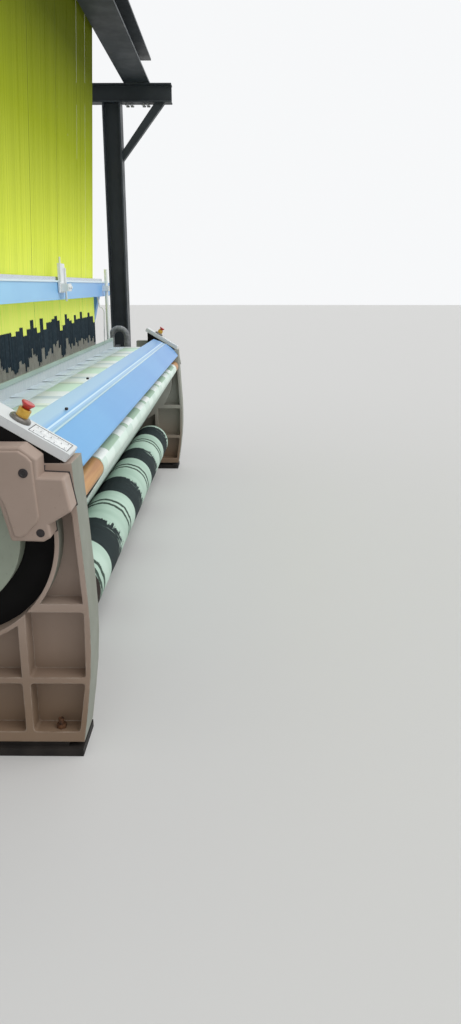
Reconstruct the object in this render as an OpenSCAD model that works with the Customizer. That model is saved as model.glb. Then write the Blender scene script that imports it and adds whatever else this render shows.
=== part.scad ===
// Jacquard rapier loom with its overhead gantry.
// X runs along the loom to the weaver's right, Y runs from the weaver to the warp beam, Z is up.
// Depths are given from the front plane of the side frames, heights from the floor.

/* [Loom] */
// Distance over the outer faces of the two side frames
loom_w = 4350; // [4300:10:4500]
// Thickness of a side frame casting
frame_t = 150; // [140:5:170]
// Height of the warp and cloth line
cloth_z = 1035; // [1030:1:1040]
// Height of the frame's front top rail
rail_z = 993; // [985:1:995]
// Height of the frame's rear top rail
rear_rail_z = 960; // [950:5:965]
// Width of the rim and ribs of the frame
rib_t = 14; // [10:1:18]
// Thickness of the frame's web
web_t = 14; // [10:1:20]
// Radius of the round recess in the outside of the frame
recess_r = 350; // [330:5:355]
// Height of the feet below the frame
foot_h = 47; // [40:1:60]

/* [Warp and cloth] */
// Number of warp ribbons and reed dents
dents = 120; // [100:10:120]
// Pitch of the reed dents
dent_pitch = 28.8; // [27.5:0.1:29]
// Width of a warp ribbon
ribbon_w = 24; // [22:0.5:24.5]
// Warp ribbons in one harness band
band_n = 5; // [5:5:10]
// Free space between the left frame and the first warp band
side_gap = 360; // [340:5:380]
// Thickness of the cloth and of the warp sheet
cloth_t = 1.2; // [1:0.1:2]
// Depth of the fell, where the cloth begins
fell_d = 398; // [394:1:398]
// Radius of the rolled cloth
roll_r = 135; // [90:5:135]
// Radius of the wound warp
warp_r = 330; // [200:10:370]
// Radius of the warp beam's flanges
flange_r = 400; // [380:5:410]

/* [Rollers] */
// Radius of the take-up roller
take_up_r = 75; // [70:1:78]
// Radius of the press roller
press_r = 35; // [30:1:38]
// Radius of the cloth guide roller
guide_r = 40; // [34:1:44]
// Radius of the breast bar
breast_r = 15; // [10:1:18]
// Radius of the whip roller
whip_r = 75; // [60:1:80]
// Radius of a roller's journal
journal_r = 20; // [12:1:22]
// Running clearance of a shaft in its bearing
bearing_gap = 0.05; // [0.02:0.01:0.1]
// Clearance between the cloth and what carries it
cloth_gap = 0.3; // [0.2:0.1:0.6]

/* [Sley and rapiers] */
// Height of the sley's rocking shaft
sley_z = 380; // [370:5:390]
// Radius of the rocking shaft
sley_r = 35; // [32:1:40]
// Thickness of the reed
reed_t = 12; // [8:1:14]
// Height of the reed
reed_h = 140; // [130:5:150]
// Radius of a rapier wheel
wheel_r = 100; // [92:1:102]
// Thickness of a rapier tape
tape_t = 2.5; // [1.5:0.5:3]
// Width of a rapier tape
tape_w = 18; // [14:1:20]
// Height of a rapier head
head_h = 20; // [16:1:22]

/* [Harness] */
// Height of the comber board's underside
comber_z = 1530; // [1500:10:1560]
// Spacing of the harness rows at the comber board
row_pitch = 66.6; // [60:0.1:70]
// Spacing of the harness rows under the head
top_pitch = 166.6; // [150:0.1:168]
// Half of the height step between neighbouring bands
band_step = 15; // [10:1:20]
// Top of the heddle sleeves
sleeve_top_z = 1290; // [1270:5:1300]
// Bottom end of the heddles
heddle_z = 806; // [790:2:820]
// Top of the spring rail
spring_z = 560; // [540:5:580]

/* [Drive] */
// Gear module
gear_m = 4; // [4:1:4]
// Teeth on the main gear
gear_n = 72; // [68:4:72]
// Teeth on the motor pinion
pinion_n = 18; // [16:1:18]
// Radius of the main shaft
shaft_r = 18; // [14:1:18]
// Radius of the upright drive shaft
upright_r = 20; // [15:1:25]

/* [Gantry] */
// Length of the gantry's longitudinal beams
gantry_l = 6600; // [6400:50:7000]
// Height of the longitudinal beams' underside
gantry_z = 3200; // [3000:20:3400]
// Height of the longitudinal beams
beam_h = 240; // [200:10:260]
// Width of the longitudinal beams
beam_w = 225; // [200:5:240]
// Length of the jacquard head
head_l = 3640; // [3620:10:3700]
// Height of the jacquard head
jacquard_h = 710; // [600:10:800]
// Size of a gantry post
post_w = 160; // [140:5:180]

/* [Hidden] */
$fn = 64;

// Along the loom
frame_out = loom_w / 2;
frame_in = frame_out - frame_t;
warp_x0 = -frame_in + side_gap;
warp_w = dents * dent_pitch;
warp_x1 = warp_x0 + warp_w;
band_w = band_n * dent_pitch;
bands = dents / band_n;
band_gap = 6.5;
window_w = ribbon_w + 2.5;
reed_end = 12;

// The frame's front edge bulges towards the weaver
front_top = [4, rail_z];
front_bend = [-33, 378];
front_foot = [15, foot_h];
bend_cut = 200;
rail_end_d = 600;
rear_d = 1660;

// Roller axes, as depth and height
take_up = [190, 905];
nip_slack = 0.4;
press = take_up + [-1, -1] / sqrt(2) * (take_up_r + press_r + cloth_t + 2 * cloth_gap + nip_slack);
guide = [40, 860];
breast = [285, cloth_z - cloth_gap - cloth_t / 2 - breast_r];
cloth_axis = [215, 275];
cloth_tube_r = 50;
whip = [1450, cloth_z - cloth_t / 2 - cloth_gap - whip_r];
warp_axis = [1500, 480];
warp_tube_r = 80;
warp_journal_r = 45;
main_axis = [420, 760];
sley_axis = [560, sley_z];
bearing_deep = 60;

// Reed, sley and rapiers
reed_d = 500;
reed_z = cloth_z - reed_h / 2;
sley_beam_h = 40;
rapier_d = 470;
rapier_z = cloth_z - 10;
wheel_x = frame_in - wheel_r - cloth_gap - tape_t - 8.2;
wheel_z = rapier_z - cloth_gap - wheel_r;
tab = 6;
tape_bend_r = 90;
tape_low_z = 150;
tape_run = 760;
rapier_x0 = warp_x1 + reed_end + 3;

// Heddles and harness
rows = 4;
row_d0 = 630;
row_top_d0 = 545;
plate_t = 1.5;
hang_d = 3.5;
comber_t = 20;
hook_z = gantry_z + beam_h + 60;
bar_h = 20;
bar_t = 10;

// Gantry
post_x = gantry_l / 2 - 150;
post_front_d = 630;
post_rear_d = 1450;
cross_h = 150;
front_beam_d = 290;
rear_beam_d = 1115;
cross_front_d = 100;
base_w = 320;
base_t = 20;
anchor_pitch = 240;
anchor_r = 11;

// Drive: the pinion stands below and behind the main gear
gear_centre = gear_m * (gear_n + pinion_n) / 2;
pinion_angle = -60;
pinion_axis = main_axis + gear_centre * [cos(pinion_angle), sin(pinion_angle)];
upright_d = 960;
upright_x = frame_out + 80;

// Shape helpers
function unit(v) = v / norm(v);
function left_of(v) = [-v[1], v[0]];
function heading(a) = [-sin(a), cos(a)];
function bow(p, c, q, n) =
    [for (k = [0:n]) let (t = k / n) (1 - t) * (1 - t) * p + 2 * t * (1 - t) * c + t * t * q];
function corner(p, c, q, cut) = bow(c + unit(p - c) * cut, c, c + unit(q - c) * cut, 4);
function soft(pts, cut) = [for (i = [0:len(pts) - 1])
    each corner(pts[(i + len(pts) - 1) % len(pts)], pts[i], pts[(i + 1) % len(pts)], cut)];
function arc(c, r, a0, a1, n) =
    [for (k = [0:n]) let (a = a0 + (a1 - a0) * k / n) c + r * [cos(a), sin(a)]];

// An open line of points thickened to a sheet, with mitred bends
function line_normal(p, i) = let (
    a = i == 0 ? unit(p[1] - p[0]) : unit(p[i] - p[i - 1]),
    b = i == len(p) - 1 ? a : unit(p[i + 1] - p[i]),
    m = unit(left_of(a) + left_of(b)))
    m / (m * left_of(a));
function thick(p, t) = concat([for (i = [0:len(p) - 1]) p[i] + line_normal(p, i) * t / 2],
    [for (i = [len(p) - 1:-1:0]) p[i] - line_normal(p, i) * t / 2]);

// A sheet led round rollers: each stop is [depth, height, radius, side], side 1 keeps the roller
// to the right of the way and -1 to the left
function leave(a, b) = let (v = [b[0] - a[0], b[1] - a[1]])
    atan2(v[1], v[0]) - asin((a[3] * a[2] - b[3] * b[2]) / norm(v));
function turned(a, side) = side < 0 ? (a % 360 + 360) % 360 : -((360 - a % 360) % 360);
function led(s) = [for (i = [0:len(s) - 1]) let (
    into = leave(s[max(i - 1, 0)], s[max(i, 1)]),
    out = i == len(s) - 1 ? into : leave(s[i], s[i + 1]),
    turn = i == 0 || i == len(s) - 1 ? 0 : turned(out - into, s[i][3]),
    n = ceil(abs(turn) / 6))
    each [for (k = [0:n]) let (a = into + (n == 0 ? 0 : turn * k / n), m = heading(a))
        [[s[i][0], s[i][1]] + s[i][3] * s[i][2] * m, m]]];
function sheet(s, t) = let (q = led(s)) concat([for (k = q) k[0] + k[1] * t / 2],
    [for (i = [len(q) - 1:-1:0]) q[i][0] - q[i][1] * t / 2]);

// Depth of the frame's front edge at a height
function front_d(z) = z > front_bend[1]
    ? front_bend[0] + (z - front_bend[1]) * (front_top[0] - front_bend[0]) / (rail_z - front_bend[1])
    : front_bend[0] + (front_bend[1] - z) * (front_foot[0] - front_bend[0]) / (front_bend[1] - foot_h);

frame_outline = concat([front_foot, [1480, foot_h], [1560, 300], [rear_d, 430], [rear_d, 560],
    [1560, 700], [1520, rear_rail_z], [1490, whip[1] + 50], [1410, whip[1] + 50],
    [1380, rear_rail_z], [rail_end_d + 60, rear_rail_z], [rail_end_d, rail_z]],
    [front_top], corner(front_top, front_bend, front_foot, bend_cut));
front_most = min([for (p = frame_outline) p[0]]);
y_mid = (front_most + warp_axis[0] + flange_r) / 2;

module place() {
    translate([0, -y_mid, 0]) children();
}

// Profiles drawn in depth and height run along X from x0 to x1
module along_x(x0, x1) {
    translate([x0, 0, 0]) rotate([90, 0, 90]) linear_extrude(x1 - x0) children();
}

// Profiles drawn in X and height run along the depth from d0 to d1
module along_y(d0, d1) {
    translate([0, d1, 0]) rotate([90, 0, 0]) linear_extrude(d1 - d0) children();
}

module block(x0, x1, d0, d1, z0, z1) {
    translate([x0, d0, z0]) cube([x1 - x0, d1 - d0, z1 - z0]);
}

module rod_x(x0, x1, at, r) {
    translate([x0, at[0], at[1]]) rotate([0, 90, 0]) cylinder(h = x1 - x0, r = r);
}

module rod_y(d0, d1, x, z, r) {
    translate([x, d1, z]) rotate([90, 0, 0]) cylinder(h = d1 - d0, r = r);
}

module rod_z(x, d, z0, z1, r) {
    translate([x, d, z0]) cylinder(h = z1 - z0, r = r);
}

// Right-hand side as drawn, and its mirror image on the left
module on_right() {
    translate([frame_in, 0, 0]) children();
}

module on_left() {
    mirror([1, 0, 0]) on_right() children();
}

module both_sides() {
    on_right() children();
    on_left() children();
}

// Side frame: a web in the middle, pockets between ribs on both faces, bearing bosses inside
rib_low = [262, 283];
rib_high = [512, 540];
post_rib = [180, 206];
mid_rib = [693, 707];
back_rib = [1100, 1114];
flange_top = 84;
rim_t = 18;
recess_ring = recess_r + rib_t;
recess_top = rail_z - 63;

function ring_d(z) = sqrt(recess_ring * recess_ring - (z - main_axis[1]) * (z - main_axis[1]));
function ring_angle(z) = asin((z - main_axis[1]) / recess_ring);

module pocket(pts) {
    polygon(soft(pts, 12));
}

module low_pockets() {
    pocket([[front_d(flange_top) + rim_t, flange_top], [post_rib[0], flange_top],
        [post_rib[0], rib_low[0]], [front_d(rib_low[0]) + rim_t, rib_low[0]]]);
    pocket([[post_rib[1], flange_top], [mid_rib[0], flange_top], [mid_rib[0], rib_low[0]],
        [post_rib[1], rib_low[0]]]);
    pocket([[mid_rib[1], flange_top], [back_rib[0], flange_top], [back_rib[0], rib_low[0]],
        [mid_rib[1], rib_low[0]]]);
    pocket([[back_rib[1], flange_top], [1470, flange_top], [1522, rib_low[0]],
        [back_rib[1], rib_low[0]]]);
}

module middle_pockets() {
    pocket([[front_d(rib_low[1]) + rim_t, rib_low[1]], [post_rib[0], rib_low[1]],
        [post_rib[0], rib_high[0]], [front_d(rib_high[0]) + rim_t, rib_high[0]]]);
    difference() {
        polygon(concat([[post_rib[1], rib_low[1]], [mid_rib[0], rib_low[1]]],
            arc(main_axis, recess_ring, 360 - acos((mid_rib[0] - main_axis[0]) / recess_ring),
                180 + acos((main_axis[0] - post_rib[1]) / recess_ring), 12)));
        translate(sley_axis) circle(r = 62);
    }
    pocket([[mid_rib[1], rib_low[1]], [back_rib[0], rib_low[1]], [back_rib[0], rib_high[0]],
        [mid_rib[1], rib_high[0]]]);
    difference() {
        pocket([[back_rib[1], rib_low[1]], [1535, rib_low[1]], [rear_d - rim_t, 436],
            [rear_d - rim_t, rib_high[0]], [back_rib[1], rib_high[0]]]);
        translate(warp_axis) circle(r = 95);
    }
}

module high_pockets() {
    polygon(concat([[front_d(rib_high[1]) + rim_t, rib_high[1]]],
        arc(main_axis, recess_ring, 180 - ring_angle(rib_high[1]), 180 - ring_angle(840), 10),
        corner([main_axis[0] - ring_d(850), 850], [front_d(850) + rim_t, 850],
            [front_d(rib_high[1]) + rim_t, rib_high[1]], 20)));
    polygon(concat([[back_rib[0], rib_high[1]], [back_rib[0], rear_rail_z - rim_t]],
        arc(main_axis, recess_ring, ring_angle(rear_rail_z - rim_t), ring_angle(rib_high[1]), 12)));
    difference() {
        pocket([[back_rib[1], rib_high[1]], [rear_d - rim_t - 2, rib_high[1]],
            [1543, 692], [1508, rear_rail_z - rim_t], [back_rib[1], rear_rail_z - rim_t]]);
        translate(warp_axis) circle(r = 95);
        translate(whip) circle(r = 60);
    }
}

module recess() {
    intersection() {
        translate(main_axis) circle(r = recess_r, $fn = 128);
        translate([main_axis[0] - recess_r, main_axis[1] - recess_r])
            square([2 * recess_r, recess_top - main_axis[1] + recess_r]);
    }
}

web_0 = (frame_t - web_t) / 2;
web_1 = (frame_t + web_t) / 2;

module frame_bearing(at, r) {
    rod_x(-1, bearing_deep, at, r + bearing_gap);
}

module frame_casting() {
    difference() {
        along_x(0, frame_t) polygon(frame_outline);
        along_x(web_1, frame_t + 1) {
            low_pockets();
            middle_pockets();
            high_pockets();
            recess();
        }
        difference() {
            along_x(-1, web_0) {
                low_pockets();
                middle_pockets();
                high_pockets();
            }
            rod_x(-2, web_0 + 1, take_up, 45);
            rod_x(-2, web_0 + 1, press, 30);
            rod_x(-2, web_0 + 1, guide, 34);
            rod_x(-2, web_0 + 1, main_axis, 42);
            rod_x(-2, web_0 + 1, cloth_axis, 42);
        }
        frame_bearing(take_up, journal_r);
        frame_bearing(press, journal_r - 6);
        frame_bearing(guide, journal_r - 6);
        frame_bearing(cloth_axis, journal_r);
        frame_bearing(sley_axis, sley_r - 5);
        frame_bearing(warp_axis, warp_journal_r);
        frame_bearing(whip, journal_r);
        rod_x(-1, frame_t + 1, main_axis, shaft_r + bearing_gap);
        foot_bolts(bolt_r + 0.5, foot_h - 1, flange_top + 1);
    }
}

module frame_left() {
    color([0.52, 0.48, 0.44]) place() on_left() frame_casting();
}

module frame_right() {
    color([0.52, 0.48, 0.44]) place() on_right() frame_casting();
}

// Black steel feet with levelling bolts
foot_plate_h = 28;
bolt_r = 9;
bolt_ds = [95, 1200, 1400];

module foot_bolts(r, z0, z1) {
    for (d = bolt_ds) {
        rod_z(frame_t - 30, d, z0, z1, r);
    }
}

module foot_side() {
    block(-20, frame_t + 12, 18, 330, 0, foot_plate_h);
    block(-20, frame_t + 12, 1120, 1470, 0, foot_plate_h);
    block(10, frame_t - 6, 70, 300, foot_plate_h, foot_h);
    block(10, frame_t - 6, 1150, 1440, foot_plate_h, foot_h);
    foot_bolts(bolt_r, foot_h, flange_top + 34);
    for (d = bolt_ds) {
        translate([frame_t - 30, d, flange_top]) cylinder(h = 14, r = 17, $fn = 6);
    }
}

module foot_plates() {
    color([0.08, 0.08, 0.09]) place() both_sides() foot_side();
}

// Breast beam with the arms that carry the breast bar
breast_back_d = 390;
breast_front_d = 290;
breast_top_z = 830;
arm_t = 12;

module breast_beam() {
    color([0.32, 0.33, 0.33]) place() {
        block(-frame_in, frame_in, breast_front_d, breast_back_d, breast_top_z - 140, breast_top_z);
        for (x = [warp_x0 + 60:560:warp_x1]) {
            along_x(x, x + arm_t) polygon([[295, breast_top_z - 5], [350, breast_top_z - 5],
                [325, 960], [breast[0] + 14, breast[1] + 6], [breast[0] + 4, breast[1] - 6]]);
        }
        rod_x(warp_x0 - 40, warp_x1 + 40, breast, breast_r);
    }
}

// Main cross beam low in the machine, with the spring rail's struts
lower_d = [610, 850];
lower_z = [200, 340];

module lower_beam() {
    color([0.32, 0.33, 0.33]) place() {
        difference() {
            block(-frame_in, frame_in, lower_d[0], lower_d[1], lower_z[0], lower_z[1]);
            block(-frame_in - 1, frame_in + 1, lower_d[0] + 10, lower_d[1] - 10,
                lower_z[0] + 10, lower_z[1] - 10);
        }
        for (x = [-1500:600:1500]) {
            block(x - 20, x + 20, 720, 740, lower_z[1], spring_z - 30);
        }
    }
}

module spring_rail() {
    color([0.45, 0.46, 0.47]) place()
        block(-frame_in, frame_in, row_d0 - 25, row_d0 + (rows - 1) * row_pitch + 25,
            spring_z - 30, spring_z);
}

// Folded blue cover over the take-up rollers
cover_t = 3;
cover_x = frame_in - 15;
cover_line = concat([[198, 1081]], corner([198, 1081], [146, 1063], [128, 1055], 8),
    [[118, 1047], [106, 1044], [97, 1043], [88, 1036]],
    [for (k = [0:6]) let (t = k / 6) [80 - 74 * t, 1029 - 74 * t + 7 * sin(180 * t)]],
    [[4, 949], [7, 944], [14, 944]]);

module front_cover() {
    color([0.30, 0.56, 0.86]) place() {
        along_x(-cover_x, cover_x) polygon(thick(cover_line, cover_t));
        for (s = [-1, 1]) {
            along_x(s > 0 ? cover_x : -frame_in, s > 0 ? frame_in : -cover_x)
                polygon([[198, 1081], [146, 1063], [106, 1044], [80, 1030], [22, 972], [110, 960],
                    [198, 1005]]);
        }
    }
}

// Blue beams across the harness with their end brackets
arch_d = 560;
arch_t = 50;
arch_h = 100;
arch_blue_x = 1880;
rear_arch_d = 860;
arch_post_d = [690, 830];

module arch_rail(d) {
    block(-arch_blue_x, arch_blue_x, d, d + arch_t, comber_z - arch_h - 10, comber_z - 10);
    block(-arch_blue_x, arch_blue_x, d - 4, d + arch_t, comber_z - 10, comber_z);
}

module arch_end() {
    difference() {
        along_x(arch_blue_x, frame_in + 110) polygon(soft([[arch_d, comber_z - arch_h - 10],
            [rear_arch_d + arch_t, comber_z - arch_h - 10], [rear_arch_d + arch_t, comber_z],
            [arch_d, comber_z]], 10));
        block(arch_blue_x - 1, frame_in + 20, arch_d + 40, rear_arch_d + 10, comber_z - arch_h,
            comber_z + 1);
    }
    along_x(frame_in + 20, frame_in + 110) polygon([[arch_post_d[0], rear_rail_z],
        [arch_post_d[1], rear_rail_z], [arch_post_d[1] - 10, 1180],
        [arch_post_d[1] + 50, comber_z - arch_h - 10], [arch_post_d[0] - 50, comber_z - arch_h - 10],
        [arch_post_d[0] + 10, 1180]]);
}

module arch_beam() {
    color([0.33, 0.58, 0.85]) place() {
        arch_rail(arch_d);
        arch_rail(rear_arch_d);
        arch_end();
        mirror([1, 0, 0]) arch_end();
    }
}

// White clamp on the beam, guard tube and bent guard edge near the right end
clamp_x = 325;
clamp_d = arch_d - 4;
tube_x = 1800;
tube_r = 13;

module beam_clamp() {
    block(clamp_x - 75, clamp_x + 75, clamp_d - 10, clamp_d, comber_z - 70, comber_z + 95);
    block(clamp_x - 55, clamp_x + 35, clamp_d - 55, clamp_d - 10, comber_z - 62, comber_z - 18);
    rod_y(clamp_d - 63, clamp_d - 55, clamp_x - 35, comber_z - 40, 9);
    rod_y(clamp_d - 63, clamp_d - 55, clamp_x + 15, comber_z - 40, 9);
    rod_z(clamp_x + 60, clamp_d - 15, comber_z - 120, comber_z + 70, 6);
    rod_z(clamp_x - 66, clamp_d - 14, comber_z - 10, comber_z + 130, 5);
}

module guard_tube() {
    rod_z(tube_x, arch_d - tube_r - 16, 1060, 1620, tube_r);
    block(tube_x - 24, tube_x + 24, arch_d - 2 * tube_r - 24, arch_d, comber_z - 70,
        comber_z - 30);
}

guard_line = concat([[572, 1020]], arc([602, 1300], 40, 180, 100, 6), [[612, 1420]]);

module arch_fittings() {
    color([0.86, 0.87, 0.86]) place() {
        beam_clamp();
        guard_tube();
        along_x(warp_x1 + 30, warp_x1 + 66) polygon(thick(guard_line, 4));
    }
}

// Sloping control panels above the frames' front ends
panel_x = [30, 150];
panel_tip = [7, 1018.5];
panel_rise = 31;
panel_l = 290;
panel_t = 28;
estop_at = 184;

module panel_body() {
    translate([0, panel_tip[0], panel_tip[1]]) rotate([panel_rise, 0, 0])
        along_x(panel_x[0], panel_x[1]) polygon(soft([[0, -panel_t], [panel_l, -panel_t],
            [panel_l, 0], [0, 0]], 6));
    along_x(panel_x[0] + 25, panel_x[1] - 25) polygon([[150, rail_z], [235, rail_z],
        [235, 1126], [150, 1075]]);
}

module on_panel() {
    translate([(panel_x[0] + panel_x[1]) / 2, panel_tip[0], panel_tip[1]])
        rotate([panel_rise, 0, 0]) translate([0, estop_at, 0]) children();
}

module control_panels() {
    color([0.80, 0.80, 0.79]) place() both_sides() difference() {
        panel_body();
        on_panel() cylinder(h = 60, r = 8, center = true);
        translate([panel_x[0] + 14, panel_tip[0], panel_tip[1]]) rotate([panel_rise, 0, 0])
            translate([0, 12, -1]) cube([panel_x[1] - panel_x[0] - 28, 132, 2]);
    }
}

// Emergency stop: grey collar and yellow body, red mushroom cap on a stem that travels 5 mm
module estop_base() {
    rotate_extrude() polygon([[8, 0], [34, 0], [34, 8], [29, 14], [20, 14], [20, 38], [17, 40],
        [8, 40]]);
}

module estop_cap() {
    rotate_extrude() polygon([[0, -22], [7.92, -22], [7.92, 45.5], [17, 45.5], [21, 50],
        [21, 58], [17, 62], [0, 64]]);
}

module estop_collars() {
    color([0.88, 0.74, 0.12]) place() both_sides() on_panel() estop_base();
}

module estop_left() {
    color([0.75, 0.10, 0.08]) place() on_left() on_panel() estop_cap();
}

module estop_right() {
    color([0.75, 0.10, 0.08]) place() on_right() on_panel() estop_cap();
}

// Cast gear cover bolted on the outside of each frame, and the small upright gearbox
gear_cover_t = 80;
cover_round = 9;
gear_cover_line = [[135, 1050], [94, 1018], [94, 960], [20, 957], [4, 871], [72, 830], [69, 790],
    [85, 781], [172, 783], [196, 886], [224, 956], [352, 992], [352, 1050]];
plug_at = [[126, 983, 14], [90, 800, 13]];
gearbox_z = [700, 860];

module gear_cover() {
    intersection() {
        minkowski() {
            along_x(frame_t, frame_t + gear_cover_t - cover_round) polygon(gear_cover_line);
            sphere(r = cover_round, $fn = 16);
        }
        block(frame_t, frame_t + gear_cover_t + 1, -50, 420, 700, 1100);
    }
}

module upright_gearbox() {
    difference() {
        block(frame_t, frame_t + 160, upright_d - 80, upright_d + 80, gearbox_z[0], gearbox_z[1]);
        rod_z(upright_x - frame_in, upright_d, gearbox_z[1] - 60, gearbox_z[1] + 1,
            upright_r + bearing_gap);
    }
}

module gear_covers() {
    color([0.60, 0.55, 0.50]) place() {
        both_sides() difference() {
            gear_cover();
            for (p = plug_at) {
                rod_x(frame_t + gear_cover_t - 6, frame_t + gear_cover_t + 5, [p[0], p[1]], p[2]);
            }
        }
        on_right() upright_gearbox();
    }
}

module cover_plugs() {
    color([0.06, 0.06, 0.07]) place() both_sides() for (p = plug_at) {
        rod_x(frame_t + gear_cover_t - 6, frame_t + gear_cover_t - 2, [p[0], p[1]], p[2]);
    }
}

// Guards in the frame's round recess: black back plate and light round dome, with the black
// plates that close the space under the control panel
guard_r = 245;
guard_wall = 4;
plate_x = web_1 + 4;

module round_guard() {
    intersection() {
        difference() {
            rod_x(plate_x, frame_t - 1, main_axis, guard_r);
            rod_x(plate_x - 1, frame_t - 1 - guard_wall, main_axis, guard_r - guard_wall);
        }
        block(0, frame_t, main_axis[0] - guard_r - 1, main_axis[0] + guard_r + 1,
            main_axis[1] - guard_r - 1, recess_top - 0.3);
    }
}

module round_guards() {
    color([0.62, 0.66, 0.60]) place() {
        on_left() round_guard();
        on_right() difference() {
            round_guard();
            rod_x(frame_t - 10, frame_t, pinion_axis, shaft_r + 1);
        }
    }
}

module under_panel() {
    for (x = [[10, 54], [126, 147]]) {
        along_x(x[0], x[1]) polygon([[40, rail_z], [250, rail_z], [250, 1131], [40, 1005]]);
    }
}

module inner_guards() {
    color([0.05, 0.05, 0.06]) place() both_sides() {
        under_panel();
        difference() {
            along_x(web_1, plate_x) recess();
            rod_x(web_1 - 1, plate_x + 1, main_axis, shaft_r + 2);
        }
    }
}

// Sley: rocking shaft, swords and the beam under the reed, with the rapier race in front
sword_pitch = 500;
sword_t = 20;
race_h = 20;

module sley() {
    color([0.50, 0.51, 0.52]) place() {
        rod_x(-frame_in + 2, frame_in - 2, sley_axis, sley_r);
        for (s = [-1, 1]) {
            rod_x(s > 0 ? frame_in - 3 : -frame_in - bearing_deep + 2,
                s > 0 ? frame_in + bearing_deep - 2 : -frame_in + 3, sley_axis, sley_r - 5);
        }
        for (x = [-3 * sword_pitch:sword_pitch:3 * sword_pitch]) {
            along_x(x - sword_t / 2, x + sword_t / 2) polygon([
                [sley_axis[0] - 32, sley_axis[1]], [sley_axis[0] + 32, sley_axis[1]],
                [reed_d + 28, reed_z - sley_beam_h + 2], [reed_d - 12, reed_z - sley_beam_h + 2]]);
        }
        block(warp_x0 - reed_end, warp_x1 + reed_end, reed_d - 30, reed_d + 30,
            reed_z - sley_beam_h, reed_z);
        block(warp_x0 - reed_end, warp_x1 + reed_end, reed_d - 42, reed_d - reed_t / 2,
            reed_z, reed_z + race_h);
    }
}

module reed() {
    color([0.62, 0.64, 0.65]) place() difference() {
        block(warp_x0 - reed_end, warp_x1 + reed_end, reed_d - reed_t / 2, reed_d + reed_t / 2,
            reed_z, reed_z + reed_h);
        for (i = [0:dents - 1]) {
            translate([warp_x0 + (i + 0.5) * dent_pitch - window_w / 2, reed_d - reed_t,
                reed_z + race_h]) cube([window_w, 2 * reed_t, reed_h - 2 * race_h]);
        }
    }
}

// Rapier heads parked outside the reed, each with its tape over a wheel on the frame
module rapier_head() {
    along_y(rapier_d - 15, rapier_d + 15) polygon([[rapier_x0, rapier_z + 5],
        [rapier_x0 + 16, rapier_z], [wheel_x - tab, rapier_z],
        [wheel_x - tab, rapier_z + head_h], [rapier_x0 + 40, rapier_z + head_h],
        [rapier_x0, rapier_z + 9]]);
}

module rapier_left() {
    color([0.30, 0.31, 0.33]) place() mirror([1, 0, 0]) rapier_head();
}

module rapier_right() {
    color([0.30, 0.31, 0.33]) place() rapier_head();
}

module tape() {
    r = wheel_r + cloth_gap + tape_t / 2;
    along_y(rapier_d - tape_w / 2, rapier_d + tape_w / 2) polygon(sheet([
        [wheel_x - tab, wheel_z + r, 0, 1], [wheel_x, wheel_z, r, 1],
        [wheel_x + r - tape_bend_r, tape_low_z + tape_bend_r, tape_bend_r, 1],
        [wheel_x - tape_run, tape_low_z, 0, 1]], tape_t));
}

module tape_left() {
    color([0.70, 0.71, 0.72]) place() mirror([1, 0, 0]) tape();
}

module tape_right() {
    color([0.70, 0.71, 0.72]) place() tape();
}

wheel_t = 20;
axle_r = 12;

module rapier_wheel() {
    difference() {
        union() {
            rod_y(rapier_d - wheel_t / 2, rapier_d + wheel_t / 2, wheel_x, wheel_z, wheel_r);
            rod_y(rapier_d - 16, rapier_d + 15, wheel_x, wheel_z, 24);
            rod_y(rapier_d, rapier_d + 90, wheel_x, wheel_z, axle_r);
        }
        for (k = [0:5]) {
            rod_y(rapier_d - 20, rapier_d + 20, wheel_x + 62 * cos(60 * k + 30),
                wheel_z + 62 * sin(60 * k + 30), 20);
        }
    }
}

module rapier_wheel_left() {
    color([0.56, 0.58, 0.60]) place() mirror([1, 0, 0]) rapier_wheel();
}

module rapier_wheel_right() {
    color([0.56, 0.58, 0.60]) place() rapier_wheel();
}

module wheel_housing() {
    housing_d = rapier_d + 15.5;
    track_x = wheel_x + wheel_r + 2 * cloth_gap + tape_t;
    bend_r = tape_bend_r + cloth_gap + tape_t / 2 + 3.3;
    difference() {
        along_x(wheel_x - 50, frame_in) polygon(soft([[housing_d, wheel_z - 62],
            [housing_d + 120, wheel_z - 62], [housing_d + 120, wheel_z + 60],
            [housing_d, wheel_z + 60]], 14));
        rod_y(housing_d - 1, housing_d + 80, wheel_x, wheel_z, axle_r + bearing_gap);
    }
    block(track_x, frame_in, rapier_d - tape_w / 2 - 4, rapier_d + tape_w / 2 + 4,
        tape_low_z + tape_bend_r, wheel_z);
    along_y(rapier_d - tape_w / 2 - 4, rapier_d + tape_w / 2 + 4) polygon(thick(concat(
        arc([track_x + 3 - bend_r, tape_low_z + tape_bend_r], bend_r, 0, -90, 24),
        [[wheel_x - tape_run, tape_low_z + tape_bend_r - bend_r]]), 6));
}

module wheel_housings() {
    color([0.34, 0.35, 0.36]) place() {
        wheel_housing();
        mirror([1, 0, 0]) wheel_housing();
    }
}

// Temples: ringed cylinders that hold the cloth's edges at the fell
temple_r = 9;
temple_at = [350, cloth_z - cloth_t / 2 - cloth_gap - temple_r];
temple_l = 170;

module temple() {
    rod_x(warp_x1 - temple_l, warp_x1 + 8, temple_at, temple_r - 1.5);
    for (k = [0:12]) {
        x = warp_x1 - temple_l + 6 + k * 12.5;
        rod_x(x, x + 7, temple_at, temple_r);
    }
    block(warp_x1 + 8, warp_x1 + 24, temple_at[0] - 12, temple_at[0] + 12, breast_top_z,
        temple_at[1] + temple_r);
}

module temples() {
    color([0.72, 0.60, 0.32]) place() {
        temple();
        translate([warp_x0 + warp_x1, 0, 0]) mirror([1, 0, 0]) temple();
    }
}

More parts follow.
